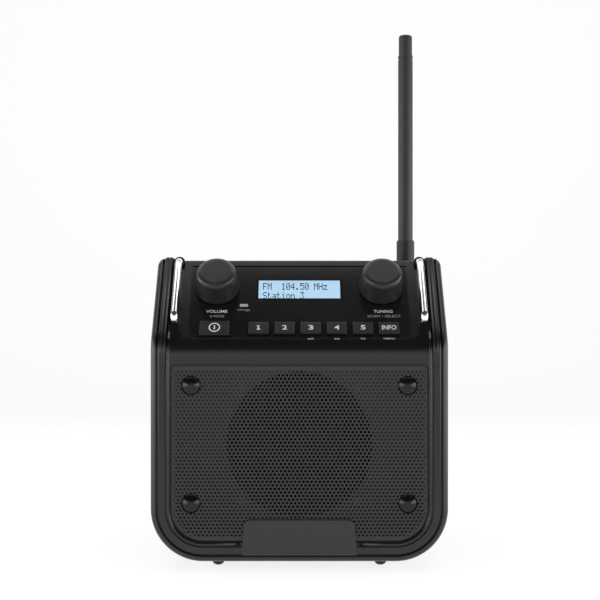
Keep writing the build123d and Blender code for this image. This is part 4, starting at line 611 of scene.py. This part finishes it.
class RADIO_OT_speaker(Operator):
    """Finish the speaker: basket, cone, coil, magnet and the cloth before it"""
    bl_idname = "radio.speaker"
    bl_label = "Speaker"

    def execute(self, context):
        dress(cloth("dust_cloth", (0.008, 0.008, 0.008)), "dust_cloth")
        dress(plated("basket_steel", (0.50, 0.50, 0.50), 0.38), "speaker_frame", "speaker_yoke")
        dress(foam("surround_foam", (0.03, 0.03, 0.03)), "surround")
        dress(paper("cone_paper", (0.030, 0.030, 0.031)), "speaker_cone", "dust_cap")
        dress(cloth("spider_cloth", (0.50, 0.34, 0.12), 0.9 * MM), "spider")
        dress(wound_wire("coil_wire", (0.72, 0.35, 0.20)), "voice_coil")
        dress(moulded("magnet_ferrite", (0.055, 0.055, 0.058), 0.6, 1.2 * MM, 0.05 * MM),
              "speaker_magnet")
        return {"FINISHED"}


class RADIO_OT_inside(Operator):
    """Finish the display module, the boards and what stands on them"""
    bl_idname = "radio.inside"
    bl_label = "Inside"

    def execute(self, context):
        tint = context.scene.radio_finishes
        dress(lit_cell("display_cell", tint.display), "display_glass")
        dress(moulded("module_plastic", (0.66, 0.68, 0.66), 0.45), "display_module")
        dress(rubber("keypad_silicone", (0.26, 0.27, 0.29), 0.5), "keypad_mat")
        dress(circuit_board("solder_mask", (0.012, 0.11, 0.045), (0.03, 0.20, 0.08)),
              "circuit_boards")
        dress(plated("shield_tin", (0.66, 0.66, 0.64), 0.3), "tuner_shield")
        dress(plated("fin_aluminium", (0.74, 0.75, 0.76), 0.34, (1.0, 10.0, 1.0)), "heat_sink")
        dress(banded("can_sleeve", (0.03, 0.05, 0.16), (0.45, 0.46, 0.48), 14 * MM, "X", 0.35),
              "capacitors")
        dress(banded("ribbon_film", (0.52, 0.52, 0.50), (0.34, 0.34, 0.33), 1.27 * MM, "X"),
              "ribbon_cable")
        return {"FINISHED"}


class RADIO_OT_rear(Operator):
    """Finish the battery bay, the cover's screws and the sockets under their flap"""
    bl_idname = "radio.rear"
    bl_label = "Rear"

    def execute(self, context):
        dress(banded("cell_wrap", (0.06, 0.16, 0.11), (0.42, 0.43, 0.40), 50 * MM, "X"),
              "battery_cells")
        dress(plated("contact_steel", (0.66, 0.66, 0.66), 0.28), "battery_contacts", "flap_pin")
        dress(plated("thumb_screw", (0.30, 0.30, 0.31), 0.36),
              "cover_screw_left", "cover_screw_right")
        dress(rubber("flap_rubber", (0.018, 0.018, 0.019), 0.68), "socket_flap")
        dress(moulded("socket_plastic", (0.015, 0.015, 0.015), 0.4), "power_inlet", "audio_inlet")
        return {"FINISHED"}


class RADIO_OT_front_metal(Operator):
    """Finish the grille's studs and the bare plate"""
    bl_idname = "radio.front_metal"
    bl_label = "Studs and plate"

    def execute(self, context):
        tint = context.scene.radio_finishes
        dress(moulded("stud_black", (0.005, 0.005, 0.005), 0.16, 2.5 * MM, 0.002 * MM,
                      specular_ior_level=0.35), "grille_studs")
        dress(powder_coat("plate_coat", tint.plate, 0.38), "name_plate")
        return {"FINISHED"}


# --- the perforated sheet -------------------------------------------------------------------------
def inside_outline(points, low, high, foot, head):
    """Points held inside a rectangle with rounded corners, foot round below and head above.

    A point outside a corner's circle moves along the line from the circle's centre onto it.
    """
    held = np.clip(points, low, high)
    for rim, radius in ((low[1], foot), (high[1], head)):
        middle = rim + radius * (1.0 if rim == low[1] else -1.0)
        centre_x = np.sign(held[..., 0]) * (high[0] - radius)
        offset = np.stack([held[..., 0] - centre_x, held[..., 1] - middle], -1)
        outside = (held[..., 1] - middle) * (rim - middle) > 0
        beyond = (np.abs(held[..., 0]) > high[0] - radius) & outside
        length = np.maximum(np.linalg.norm(offset, axis=-1), 1e-12)
        pulled = np.stack([centre_x, np.full_like(centre_x, middle)], -1)
        pulled = pulled + offset * np.minimum(1.0, radius / length)[..., None]
        held = np.where(beyond[..., None], pulled, held)
    return held


class RADIO_OT_grille(Operator):
    """Make the perforated sheet in place of the plain one"""
    bl_idname = "radio.grille"
    bl_label = "Perforated grille"

    def execute(self, context):
        size = context.scene.radio_grille
        box_low, box_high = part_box("speaker_grille")
        low, high = np.array([box_low.x, box_low.z]), np.array([box_high.x, box_high.z])
        rows = round((high[1] - low[1]) / size.pitch_z)
        columns = 2 * math.ceil(high[0] / size.pitch_x) + 1
        pitch_z = (high[1] - low[1]) / rows
        row, column = np.mgrid[0:rows, 0:columns]
        across = (column - columns // 2 + 0.5 * (row % 2)) * size.pitch_x
        centres = np.stack([across, low[1] + (row + 0.5) * pitch_z], -1).reshape(-1, 1, 2)
        # A cell is a rectangle with a point more in the middle of its top and of its bottom.
        corners = np.array([(1, 1), (0, 1), (-1, 1), (-1, -1), (0, -1), (1, -1)])
        corners = corners * (size.pitch_x, pitch_z) / 2
        turns = np.radians(54 + 36 * np.arange(10))
        hole = size.hole * np.stack([np.cos(turns), np.sin(turns)], -1)
        outline = (low, high, size.foot_radius, size.head_radius)
        rims = inside_outline(centres + corners, *outline)
        reach = size.hole + size.margin
        wide = hole * reach / size.hole
        kept = inside_outline(centres + wide, *outline)
        open_cells = np.abs(kept - centres - wide).max(axis=(1, 2)) < 1e-9
        stud_low, stud_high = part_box("grille_studs")
        for x in (stud_low.x + STUD, stud_high.x - STUD):
            for z in (stud_low.z + STUD, stud_high.z - STUD):
                open_cells &= np.linalg.norm(centres[:, 0] - (x, z), axis=1) > 0.8 * STUD
        shifted = np.roll(rims, -1, 1)
        area = (rims[..., 0] * shifted[..., 1] - shifted[..., 0] * rims[..., 1]).sum(1) / 2
        plain_cells = ~open_cells & (area > 1e-9)
        plain = rims[plain_cells]
        opened = np.concatenate([rims[open_cells], centres[open_cells] + hole], 1)
        flat = np.concatenate([plain.reshape(-1, 2), opened.reshape(-1, 2)])
        points = np.stack([flat[:, 0], np.full(len(flat), box_low.y), flat[:, 1]], 1)
        faces = (6 * np.arange(len(plain))[:, None] + np.arange(6)).tolist()
        start = 6 * len(plain) + 16 * np.arange(len(opened))[:, None]
        # Corner points are 0 to 5 and the hole's are 6 to 15, both anticlockwise.
        patterns = ([0, 1, 7, 6], [1, 2, 8, 7], [2, 3, 11, 10, 9, 8], [3, 4, 12, 11], [4, 5, 13, 12],
                    [5, 0, 6, 15, 14, 13])
        for pattern in patterns:
            faces += (start + np.array(pattern)).tolist()
        material = powder_coat("grille_coat", context.scene.radio_finishes.grille, 0.45)
        sheet = piece("perforated_grille", points, faces, material, "radio", "grille_steel")
        tidy(sheet.data, outwards=False)
        thicken(sheet, "sheet", size.thickness)
        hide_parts("speaker_grille")
        return {"FINISHED"}


# --- lettering ------------------------------------------------------------------------------------
class RADIO_OT_panel_lettering(Operator):
    """Print the titles on the fascia"""
    bl_idname = "radio.panel_lettering"
    bl_label = "Panel lettering"

    def execute(self, context):
        tint, size = context.scene.radio_finishes, context.scene.radio_lettering
        titles = [word("VOLUME", -66.9 * MM, TITLE_ROW, 17.3 * MM, size.title_height, 0.006),
                  word("TUNING", 67.8 * MM, TITLE_ROW, 15.4 * MM, size.title_height, 0.006)]
        lines = [word("& MODE", -66.4 * MM, SECOND_ROW, 11.7 * MM, size.line_height),
                 word("SCAN / SELECT", 68.4 * MM, SECOND_ROW, 27.0 * MM, size.line_height),
                 word("Charge", -45.1 * MM, 36.3 * MM, 10.2 * MM, 2.4 * MM)]
        start = node_middle("preset_button_1").x
        step = (node_middle("info_button").x - start) / PRESETS
        # Steps from the first preset, words and their widths in millimetres.
        labels = ((2, "BAND", 4.9), (3, "AUX", 4.4), (4, "EQ", 3.6), (5, "MENU", 9.0))
        for number, text, width in labels:
            titles.append(word(text, start + number * step, LABEL_ROW, width * MM, size.label_height))
        inks = {"titles": (titles, "title_ink", tint.ink),
                "second_lines": (lines, "line_ink", tint.faint_ink)}
        for name, (words, ink, colour) in inks.items():
            points, faces = joined(words)
            points = on_panel(points, FASCIA_PROUD + INK / 2)
            piece(name, points, faces, printed_ink(ink, colour), "radio", "fascia_plastic")
        return {"FINISHED"}


def cut_shape(outline):
    """A flat shape with a given outline, INK thick: its corners at the bottom, then at the top."""
    outline = np.asarray(outline, float)
    count = len(outline)
    points = np.vstack([np.insert(outline, 2, height, axis=1) for height in (-INK / 2, INK / 2)])
    start = np.arange(count)
    after = (start + 1) % count
    sides = np.stack([start, after, after + count, start + count], 1).tolist()
    return points, sides + [list(range(count - 1, -1, -1)), list(range(count, 2 * count))]


class RADIO_OT_button_lettering(Operator):
    """Print the presets' numbers, INFO and the power sign on the buttons"""
    bl_idname = "radio.button_lettering"
    bl_label = "Button lettering"

    def execute(self, context):
        tint, size = context.scene.radio_finishes, context.scene.radio_lettering
        ink = printed_ink("button_ink", tint.ink)
        top = BUTTON_TOP + INK / 2
        signs = [(f"preset_button_{number}", str(number), 4.0 * MM)
                 for number in range(2, PRESETS + 1)]
        signs.append(("info_button", "INFO", 11.4 * MM))
        for button, text, width in signs:
            x = node_middle(button).x
            points, faces = word(text, x, BUTTON_ROW, width, size.digit_height, 0.01)
            piece(f"sign_{button}", on_panel(points, top), faces, ink, button, "button_rubber")
        # The first number has a flag at its head and a foot. Its outline runs round from the foot.
        one = np.array([(-1.45, -2.3), (1.45, -2.3), (1.45, -1.5), (0.5, -1.5), (0.5, 2.3), (-0.35, 2.3),
                        (-1.4, 1.5), (-1.4, 0.7), (-0.5, 1.2), (-0.5, -1.5), (-1.45, -1.5)]) * MM
        points, faces = cut_shape(one + (node_middle("preset_button_1").x, BUTTON_ROW))
        closed_piece("sign_preset_button_1", on_panel(points, top), faces, ink, "preset_button_1",
                     "button_rubber")
        # The power sign is a ring with a bar in it, drawn with one width of line.
        x, ring, half_bar, line = node_middle("power_button").x, 4.1 * MM, 2.0 * MM, 0.95 * MM
        turn = np.linspace(0.0, 2 * math.pi, 49)[:-1]
        circle = np.stack([x + ring * np.cos(turn), BUTTON_ROW + ring * np.sin(turn)], 1)
        bar = [(x, BUTTON_ROW - half_bar), (x, BUTTON_ROW), (x, BUTTON_ROW + half_bar)]
        points, faces = joined([flat_strip(circle, line, True), flat_strip(bar, line, False)])
        closed_piece("sign_power", on_panel(points, top), faces, ink, "power_button",
                     "button_rubber")
        return {"FINISHED"}


# Characters of the display, five dots wide and seven high, from the top row down.
GLYPHS = {
    "F": "##### #.... #.... ####. #.... #.... #....",
    "M": "#...# ##.## #.#.# #.#.# #...# #...# #...#",
    "H": "#...# #...# #...# ##### #...# #...# #...#",
    "S": ".#### #.... #.... .###. ....# ....# ####.",
    "z": "..... ..... ##### ...#. ..#.. .#... #####",
    "t": ".#... .#... ###.. .#... .#... .#..# ..##.",
    "a": "..... ..... .###. ....# .#### #...# .####",
    "i": "..#.. ..... .##.. ..#.. ..#.. ..#.. .###.",
    "o": "..... ..... .###. #...# #...# #...# .###.",
    "n": "..... ..... #.##. ##..# #...# #...# #...#",
    "0": ".###. #...# #..## #.#.# ##..# #...# .###.",
    "1": "..#.. .##.. ..#.. ..#.. ..#.. ..#.. .###.",
    "3": "##### ...#. ..#.. ...#. ....# #...# .###.",
    "4": "...#. ..##. .#.#. #..#. ##### ...#. ...#.",
    "5": "##### #.... ####. ....# ....# #...# .###.",
    ".": "..... ..... ..... ..... ..... .##.. .##..",
    " ": "..... ..... ..... ..... ..... ..... .....",
}


class RADIO_OT_display_mask(Operator):
    """Print the two dark strips on the window, over and under the lit part of the cell"""
    bl_idname = "radio.display_mask"
    bl_label = "Display mask"

    def execute(self, context):
        low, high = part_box("display_window")
        bottom, top = [(z - KINK.z) / UP_SLOPE.z for z in (low.z, high.z)]
        left, right = low.x + 0.2 * MM, high.x - 0.2 * MM
        strips = []
        for start, end in ((bottom + 1.4 * MM, bottom + 2.6 * MM), (top - 2.4 * MM, top - 0.1 * MM)):
            middle = (start + end) / 2
            strips.append(flat_strip([(left, middle), (right, middle)], end - start, False))
        points, faces = joined(strips)
        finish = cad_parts["control_fascia"].data.materials[0]
        closed_piece("display_mask", on_panel(points, INK), faces, finish, "radio",
                     "fascia_plastic")
        return {"FINISHED"}


class RADIO_OT_display_text(Operator):
    """Set the display's dots: each dot is a square, columns and rows of dots make a character"""
    bl_idname = "radio.display_text"
    bl_label = "Display text"

    def execute(self, context):
        size = context.scene.radio_lettering
        dot = np.array([0.66, 1.04]) * MM
        pitch, start = 3.82 * MM, -30.0 * MM
        tops = (67.1 * MM, 57.3 * MM)
        lift, thickness = 0.05 * MM, 0.03 * MM
        spots = []
        for text, top in zip((size.first_row, size.second_row), tops):
            for place, sign in enumerate(text):
                if sign not in GLYPHS:
                    raise ValueError(f"the display has no character {sign!r}")
                lit = np.array([[mark == "#" for mark in line] for line in GLYPHS[sign].split()])
                down, across = np.nonzero(lit)
                spots.append(np.stack([start + place * pitch + (across + 0.5) * dot[0],
                                       top - (down + 0.5) * dot[1]], 1))
        middles = np.concatenate(spots)[:, None, :]
        square = np.array([(-1, -1), (1, -1), (1, 1), (-1, 1)]) * dot * 0.49
        flat = (middles + square).reshape(-1, 2)
        faces = np.arange(len(flat)).reshape(-1, 4).tolist()
        finish = printed_ink("display_dots", context.scene.radio_finishes.characters, 0.5)
        dots = piece("display_characters", on_panel(flat, GLASS_TOP + lift), faces, finish,
                     "radio", "display_cell")
        thicken(dots, "dot", thickness)
        return {"FINISHED"}


# --- moulded detail -------------------------------------------------------------------------------
DOME = 9                           # points over a bead's dome
BEAD_SINK = 0.3 * MM               # of a bead's foot, into what carries it


def bead(path, out, width, rise):
    """A low dome carried along a path: side * width * cos(turn) + out * rise * sin(turn), flat below."""
    side = np.cross(unit_rows(np.gradient(path, axis=0)), out)
    turn = np.linspace(0.0, math.pi, DOME)
    across = np.append(np.cos(turn), [-1.0, 1.0]) * width
    sink = np.append(np.zeros(DOME), [BEAD_SINK, BEAD_SINK])
    lift = rise[:, None] * np.append(np.sin(turn), [0.0, 0.0]) - sink
    points = path[:, None] + side[:, None] * across[:, None] + out[:, None] * lift[..., None]
    ring = DOME + 2
    faces = grid_faces(len(path), ring, round_columns=True)
    last = ring * (len(path) - 1)
    faces += [list(range(ring - 1, -1, -1)), [last + corner for corner in range(ring)]]
    return points.reshape(-1, 3), faces


def down_the_side(corners, radius, x):
    """A path down the side view at x, its bends rounded, and the way out of the surface along it."""
    flat = rounded_path(corners, radius)
    along = unit_rows(np.gradient(flat, axis=0))
    path = np.insert(flat, 0, x, axis=1)
    out = np.stack([np.zeros(len(flat)), along[:, 1], -along[:, 0]], 1)
    return path, out


class RADIO_OT_cheek_ridges(Operator):
    """Raise the two fine ridges along each cheek: a low dome carried along the cheek's edge"""
    bl_idname = "radio.cheek_ridges"
    bl_label = "Cheek ridges"

    def execute(self, context):
        # Places behind the front plane and above the floor, down the cheek's side.
        side = [(66.0, 248.65), (57.47, 249.1), (0.0, 180.6), (0.0, 160.5)]
        rear, peak, kink, foot = [np.array([FRONT + y * MM, z * MM]) for y, z in side]
        parts = []
        for x in (-109.9, -106.9, 106.9, 109.9):
            path, out = down_the_side([peak, kink, foot], 26 * MM, x * MM)
            flat_top = np.insert(np.linspace(rear, peak, 8)[:-1], 0, x * MM, axis=1)
            path = np.vstack([flat_top, path])
            out = np.vstack([np.tile(out[0], (len(flat_top), 1)), out])
            share = np.linspace(0.0, 1.0, len(path))
            rise = np.interp(share, [0.0, 0.12, 0.80, 1.0], [0.0, 0.45, 0.45, 0.0]) * MM
            parts.append(bead(path, out, 0.8 * MM, rise))
        points, faces = joined(parts)
        material = moulded("ridge_plastic", context.scene.radio_finishes.bezel, 0.30)
        closed_piece("cheek_ridges", points, faces, material, "radio", "bezel_plastic", smooth=True)
        return {"FINISHED"}


class RADIO_OT_lip_beads(Operator):
    """Round the lip beside the grille: a low dome down from the slope and round the lower corner"""
    bl_idname = "radio.lip_beads"
    bl_label = "Lip beads"

    def execute(self, context):
        x, low, corner, end = 104.1 * MM, 19.9 * MM, 27.6 * MM, 47.5 * MM
        half_way = 90 * MM
        head = np.array(KINK + UP_SLOPE * 22 * MM)[1:]
        parts = []
        for side in (-1.0, 1.0):
            upper = [head, np.array(KINK)[1:], np.array([FRONT, half_way])]
            path, out = down_the_side(upper, 24 * MM, side * x)
            flat = rounded_path([(side * x, half_way), (side * x, low), (side * end, low)], corner)[1:]
            path = np.vstack([path, np.insert(flat, 1, FRONT, axis=1)])
            out = np.vstack([out, np.tile((0.0, -1.0, 0.0), (len(flat), 1))])
            share = np.linspace(0.0, 1.0, len(path))
            rise = np.interp(share, [0.0, 0.08, 0.97, 1.0], [0.0, 0.9, 0.9, 0.5]) * MM
            parts.append(bead(path, out, 1.2 * MM, rise))
        points, faces = joined(parts)
        material = moulded("lip_plastic", context.scene.radio_finishes.bezel, 0.22, depth=0.003 * MM)
        closed_piece("lip_beads", points, faces, material, "radio", "bezel_plastic", smooth=True)
        return {"FINISHED"}


# --- studio ---------------------------------------------------------------------------------------
# Name, place, aim, width and height of each soft box, and the property with its brightness.
SOFT_BOXES = (
    ("overhead_box", (0.0, 0.23, 1.35), (0.0, 0.23, 0.0), 2.4, 0.84, "overhead"),
    ("left_box", (-1.25, -0.75, 0.31), (0.0, -0.75, 0.31), 2.3, 0.6, "sides"),
    ("right_box", (1.25, -0.75, 0.31), (0.0, -0.75, 0.31), 2.3, 0.6, "sides"),
    ("front_box", (0.0, -2.6, 0.55), (0.0, 0.0, 0.15), 2.4, 0.6, "front"),
)
FADE = (0.04, 0.52)                # heights between which the world's light falls off
PAPER_HALF, PAPER_BACK, PAPER_TOP, PAPER_BEND = 3.2, 2.2, 2.6, 0.9
PAPER_SHADE, PAPER_GLOW, PAPER_BOUNCE = 0.36, 0.82, 0.15
CAMERA_ASIDE = 0.5 * MM


def soft_box(name, place, aim, width, height, brightness):
    """A soft box at place, facing aim, whose face has that brightness (power = pi * area * it)."""
    data = bpy.data.lights.new(name, "AREA")
    data.shape = "RECTANGLE"
    data.size = width
    data.size_y = height
    data.energy = math.pi * width * height * brightness
    lamp = bpy.data.objects.new(name, data)
    lamp.location = place
    lamp.rotation_euler = (Vector(aim) - Vector(place)).to_track_quat("-Z", "Y").to_euler()
    bpy.context.scene.collection.objects.link(lamp)


def seen_by(tree, *rays):
    """One for rays of these kinds, and none for others."""
    path = tree.nodes.new("ShaderNodeLightPath")
    found = path.outputs[rays[0]]
    for ray in rays[1:]:
        either = tree.nodes.new("ShaderNodeMath")
        either.operation = "MAXIMUM"
        tree.links.new(found, either.inputs[0])
        tree.links.new(path.outputs[ray], either.inputs[1])
        found = either.outputs[0]
    return found


def studio_world(horizon, zenith):
    """Light that is white near the horizon and fades towards the zenith."""
    world = bpy.data.worlds.new("studio")
    world.use_nodes = True
    tree = world.node_tree
    place = tree.nodes.new("ShaderNodeTexCoord")
    split = tree.nodes.new("ShaderNodeSeparateXYZ")
    height = tree.nodes.new("ShaderNodeMath")
    height.operation = "ABSOLUTE"
    ramp = tree.nodes.new("ShaderNodeMapRange")
    ramp.interpolation_type = "SMOOTHSTEP"
    for key, value in zip(("From Min", "From Max", "To Min", "To Max"), (*FADE, horizon, zenith)):
        ramp.inputs[key].default_value = value
    sky = tree.nodes["Background"]
    sky.inputs["Color"].default_value = (1.0, 1.0, 1.0, 1.0)
    tree.links.new(place.outputs["Generated"], split.inputs[0])
    tree.links.new(split.outputs["Z"], height.inputs[0])
    tree.links.new(height.outputs[0], ramp.inputs["Value"])
    tree.links.new(ramp.outputs[0], sky.inputs["Strength"])
    return world


def floor_material():
    """Paper that looks white, also in metal and glass, and keeps the shadow.

    It sends little light back.
    """
    material = bpy.data.materials.new("paper_floor")
    material.use_nodes = True
    tree = material.node_tree
    tree.nodes.clear()
    paper_seen = tree.nodes.new("ShaderNodeBsdfDiffuse")
    glow = tree.nodes.new("ShaderNodeEmission")
    both = tree.nodes.new("ShaderNodeAddShader")
    bounce = tree.nodes.new("ShaderNodeBsdfDiffuse")
    choice = tree.nodes.new("ShaderNodeMixShader")
    out = tree.nodes.new("ShaderNodeOutputMaterial")
    for diffuse, level in ((paper_seen, PAPER_SHADE), (bounce, PAPER_BOUNCE)):
        diffuse.inputs["Color"].default_value = (level, level, level, 1.0)
    glow.inputs["Strength"].default_value = PAPER_GLOW
    seen = seen_by(tree, "Is Camera Ray", "Is Glossy Ray", "Is Transmission Ray")
    for start, end in ((paper_seen.outputs[0], both.inputs[0]), (glow.outputs[0], both.inputs[1]),
                       (seen, choice.inputs[0]), (bounce.outputs[0], choice.inputs[1]),
                       (both.outputs[0], choice.inputs[2]), (choice.outputs[0], out.inputs[0])):
        tree.links.new(start, end)
    return material


class RADIO_OT_stage(Operator):
    """Set the paper floor that curves up behind, the soft boxes, the world and the camera"""
    bl_idname = "radio.stage"
    bl_label = "Studio"

    def execute(self, context):
        scene, size = context.scene, context.scene.radio_stage
        # The paper's section runs back along the floor, up a curve and up the wall.
        corners = [(-PAPER_HALF, 0.0), (PAPER_BACK, 0.0), (PAPER_BACK, PAPER_TOP)]
        section = rounded_path(corners, PAPER_BEND, 24)
        across = np.linspace(-PAPER_HALF, PAPER_HALF, 5)
        parts = np.broadcast_arrays(across[None, :], section[:, :1], section[:, 1:])
        faces = [face[::-1] for face in grid_faces(len(section), len(across))]
        points = np.stack(parts, -1)
        paper_roll = piece("paper_roll", points, faces, floor_material(), None, None, smooth=True)
        for *details, brightness in SOFT_BOXES:
            soft_box(*details, getattr(size, brightness))
        scene.world = studio_world(size.horizon, size.zenith)
        camera = bpy.data.objects.new("camera", bpy.data.cameras.new("camera"))
        camera.location = (CAMERA_ASIDE, -size.distance, size.eye_height)
        camera.rotation_euler = (math.pi / 2, 0.0, 0.0)
        camera.data.lens = size.lens
        camera.data.sensor_width = 36.0
        camera.data.clip_end = 20.0
        scene.collection.objects.link(camera)
        scene.camera = camera
        scene.view_settings.view_transform = "Standard"
        return {"FINISHED"}


STEPS = (RADIO_OT_shells, RADIO_OT_panel, RADIO_OT_knobs, RADIO_OT_handle, RADIO_OT_antenna,
         RADIO_OT_speaker, RADIO_OT_inside, RADIO_OT_rear, RADIO_OT_front_metal, RADIO_OT_grille,
         RADIO_OT_panel_lettering, RADIO_OT_button_lettering, RADIO_OT_display_mask,
         RADIO_OT_display_text, RADIO_OT_cheek_ridges, RADIO_OT_lip_beads, RADIO_OT_stage)
GROUPS = {"radio_finishes": RadioFinishes, "radio_grille": RadioGrille,
          "radio_lettering": RadioLettering, "radio_stage": RadioStage}


class RADIO_PT_steps(Panel):
    """The radio's pieces, in the order in which they are made"""
    bl_idname = "RADIO_PT_steps"
    bl_label = "Jobsite radio"
    bl_space_type = "VIEW_3D"
    bl_region_type = "UI"
    bl_category = "Radio"

    def draw(self, context):
        for step in STEPS:
            self.layout.operator(step.bl_idname)
        for key, group in GROUPS.items():
            box = self.layout.box()
            for name in group.__annotations__:
                box.prop(getattr(context.scene, key), name)


def register():
    for made in (*GROUPS.values(), *STEPS, RADIO_PT_steps):
        bpy.utils.register_class(made)
    for key, group in GROUPS.items():
        setattr(bpy.types.Scene, key, PointerProperty(type=group))


def unregister():
    for key in GROUPS:
        delattr(bpy.types.Scene, key)
    for made in (RADIO_PT_steps, *reversed(STEPS), *reversed(list(GROUPS.values()))):
        bpy.utils.unregister_class(made)


def plain(box):
    """A box of two corners as plain lists."""
    return [[float(part) for part in corner] for corner in box]


def main():
    register()
    for step in STEPS:
        group, name = step.bl_idname.split(".")
        getattr(getattr(bpy.ops, group), name)()


if __name__ == "__main__":
    main()
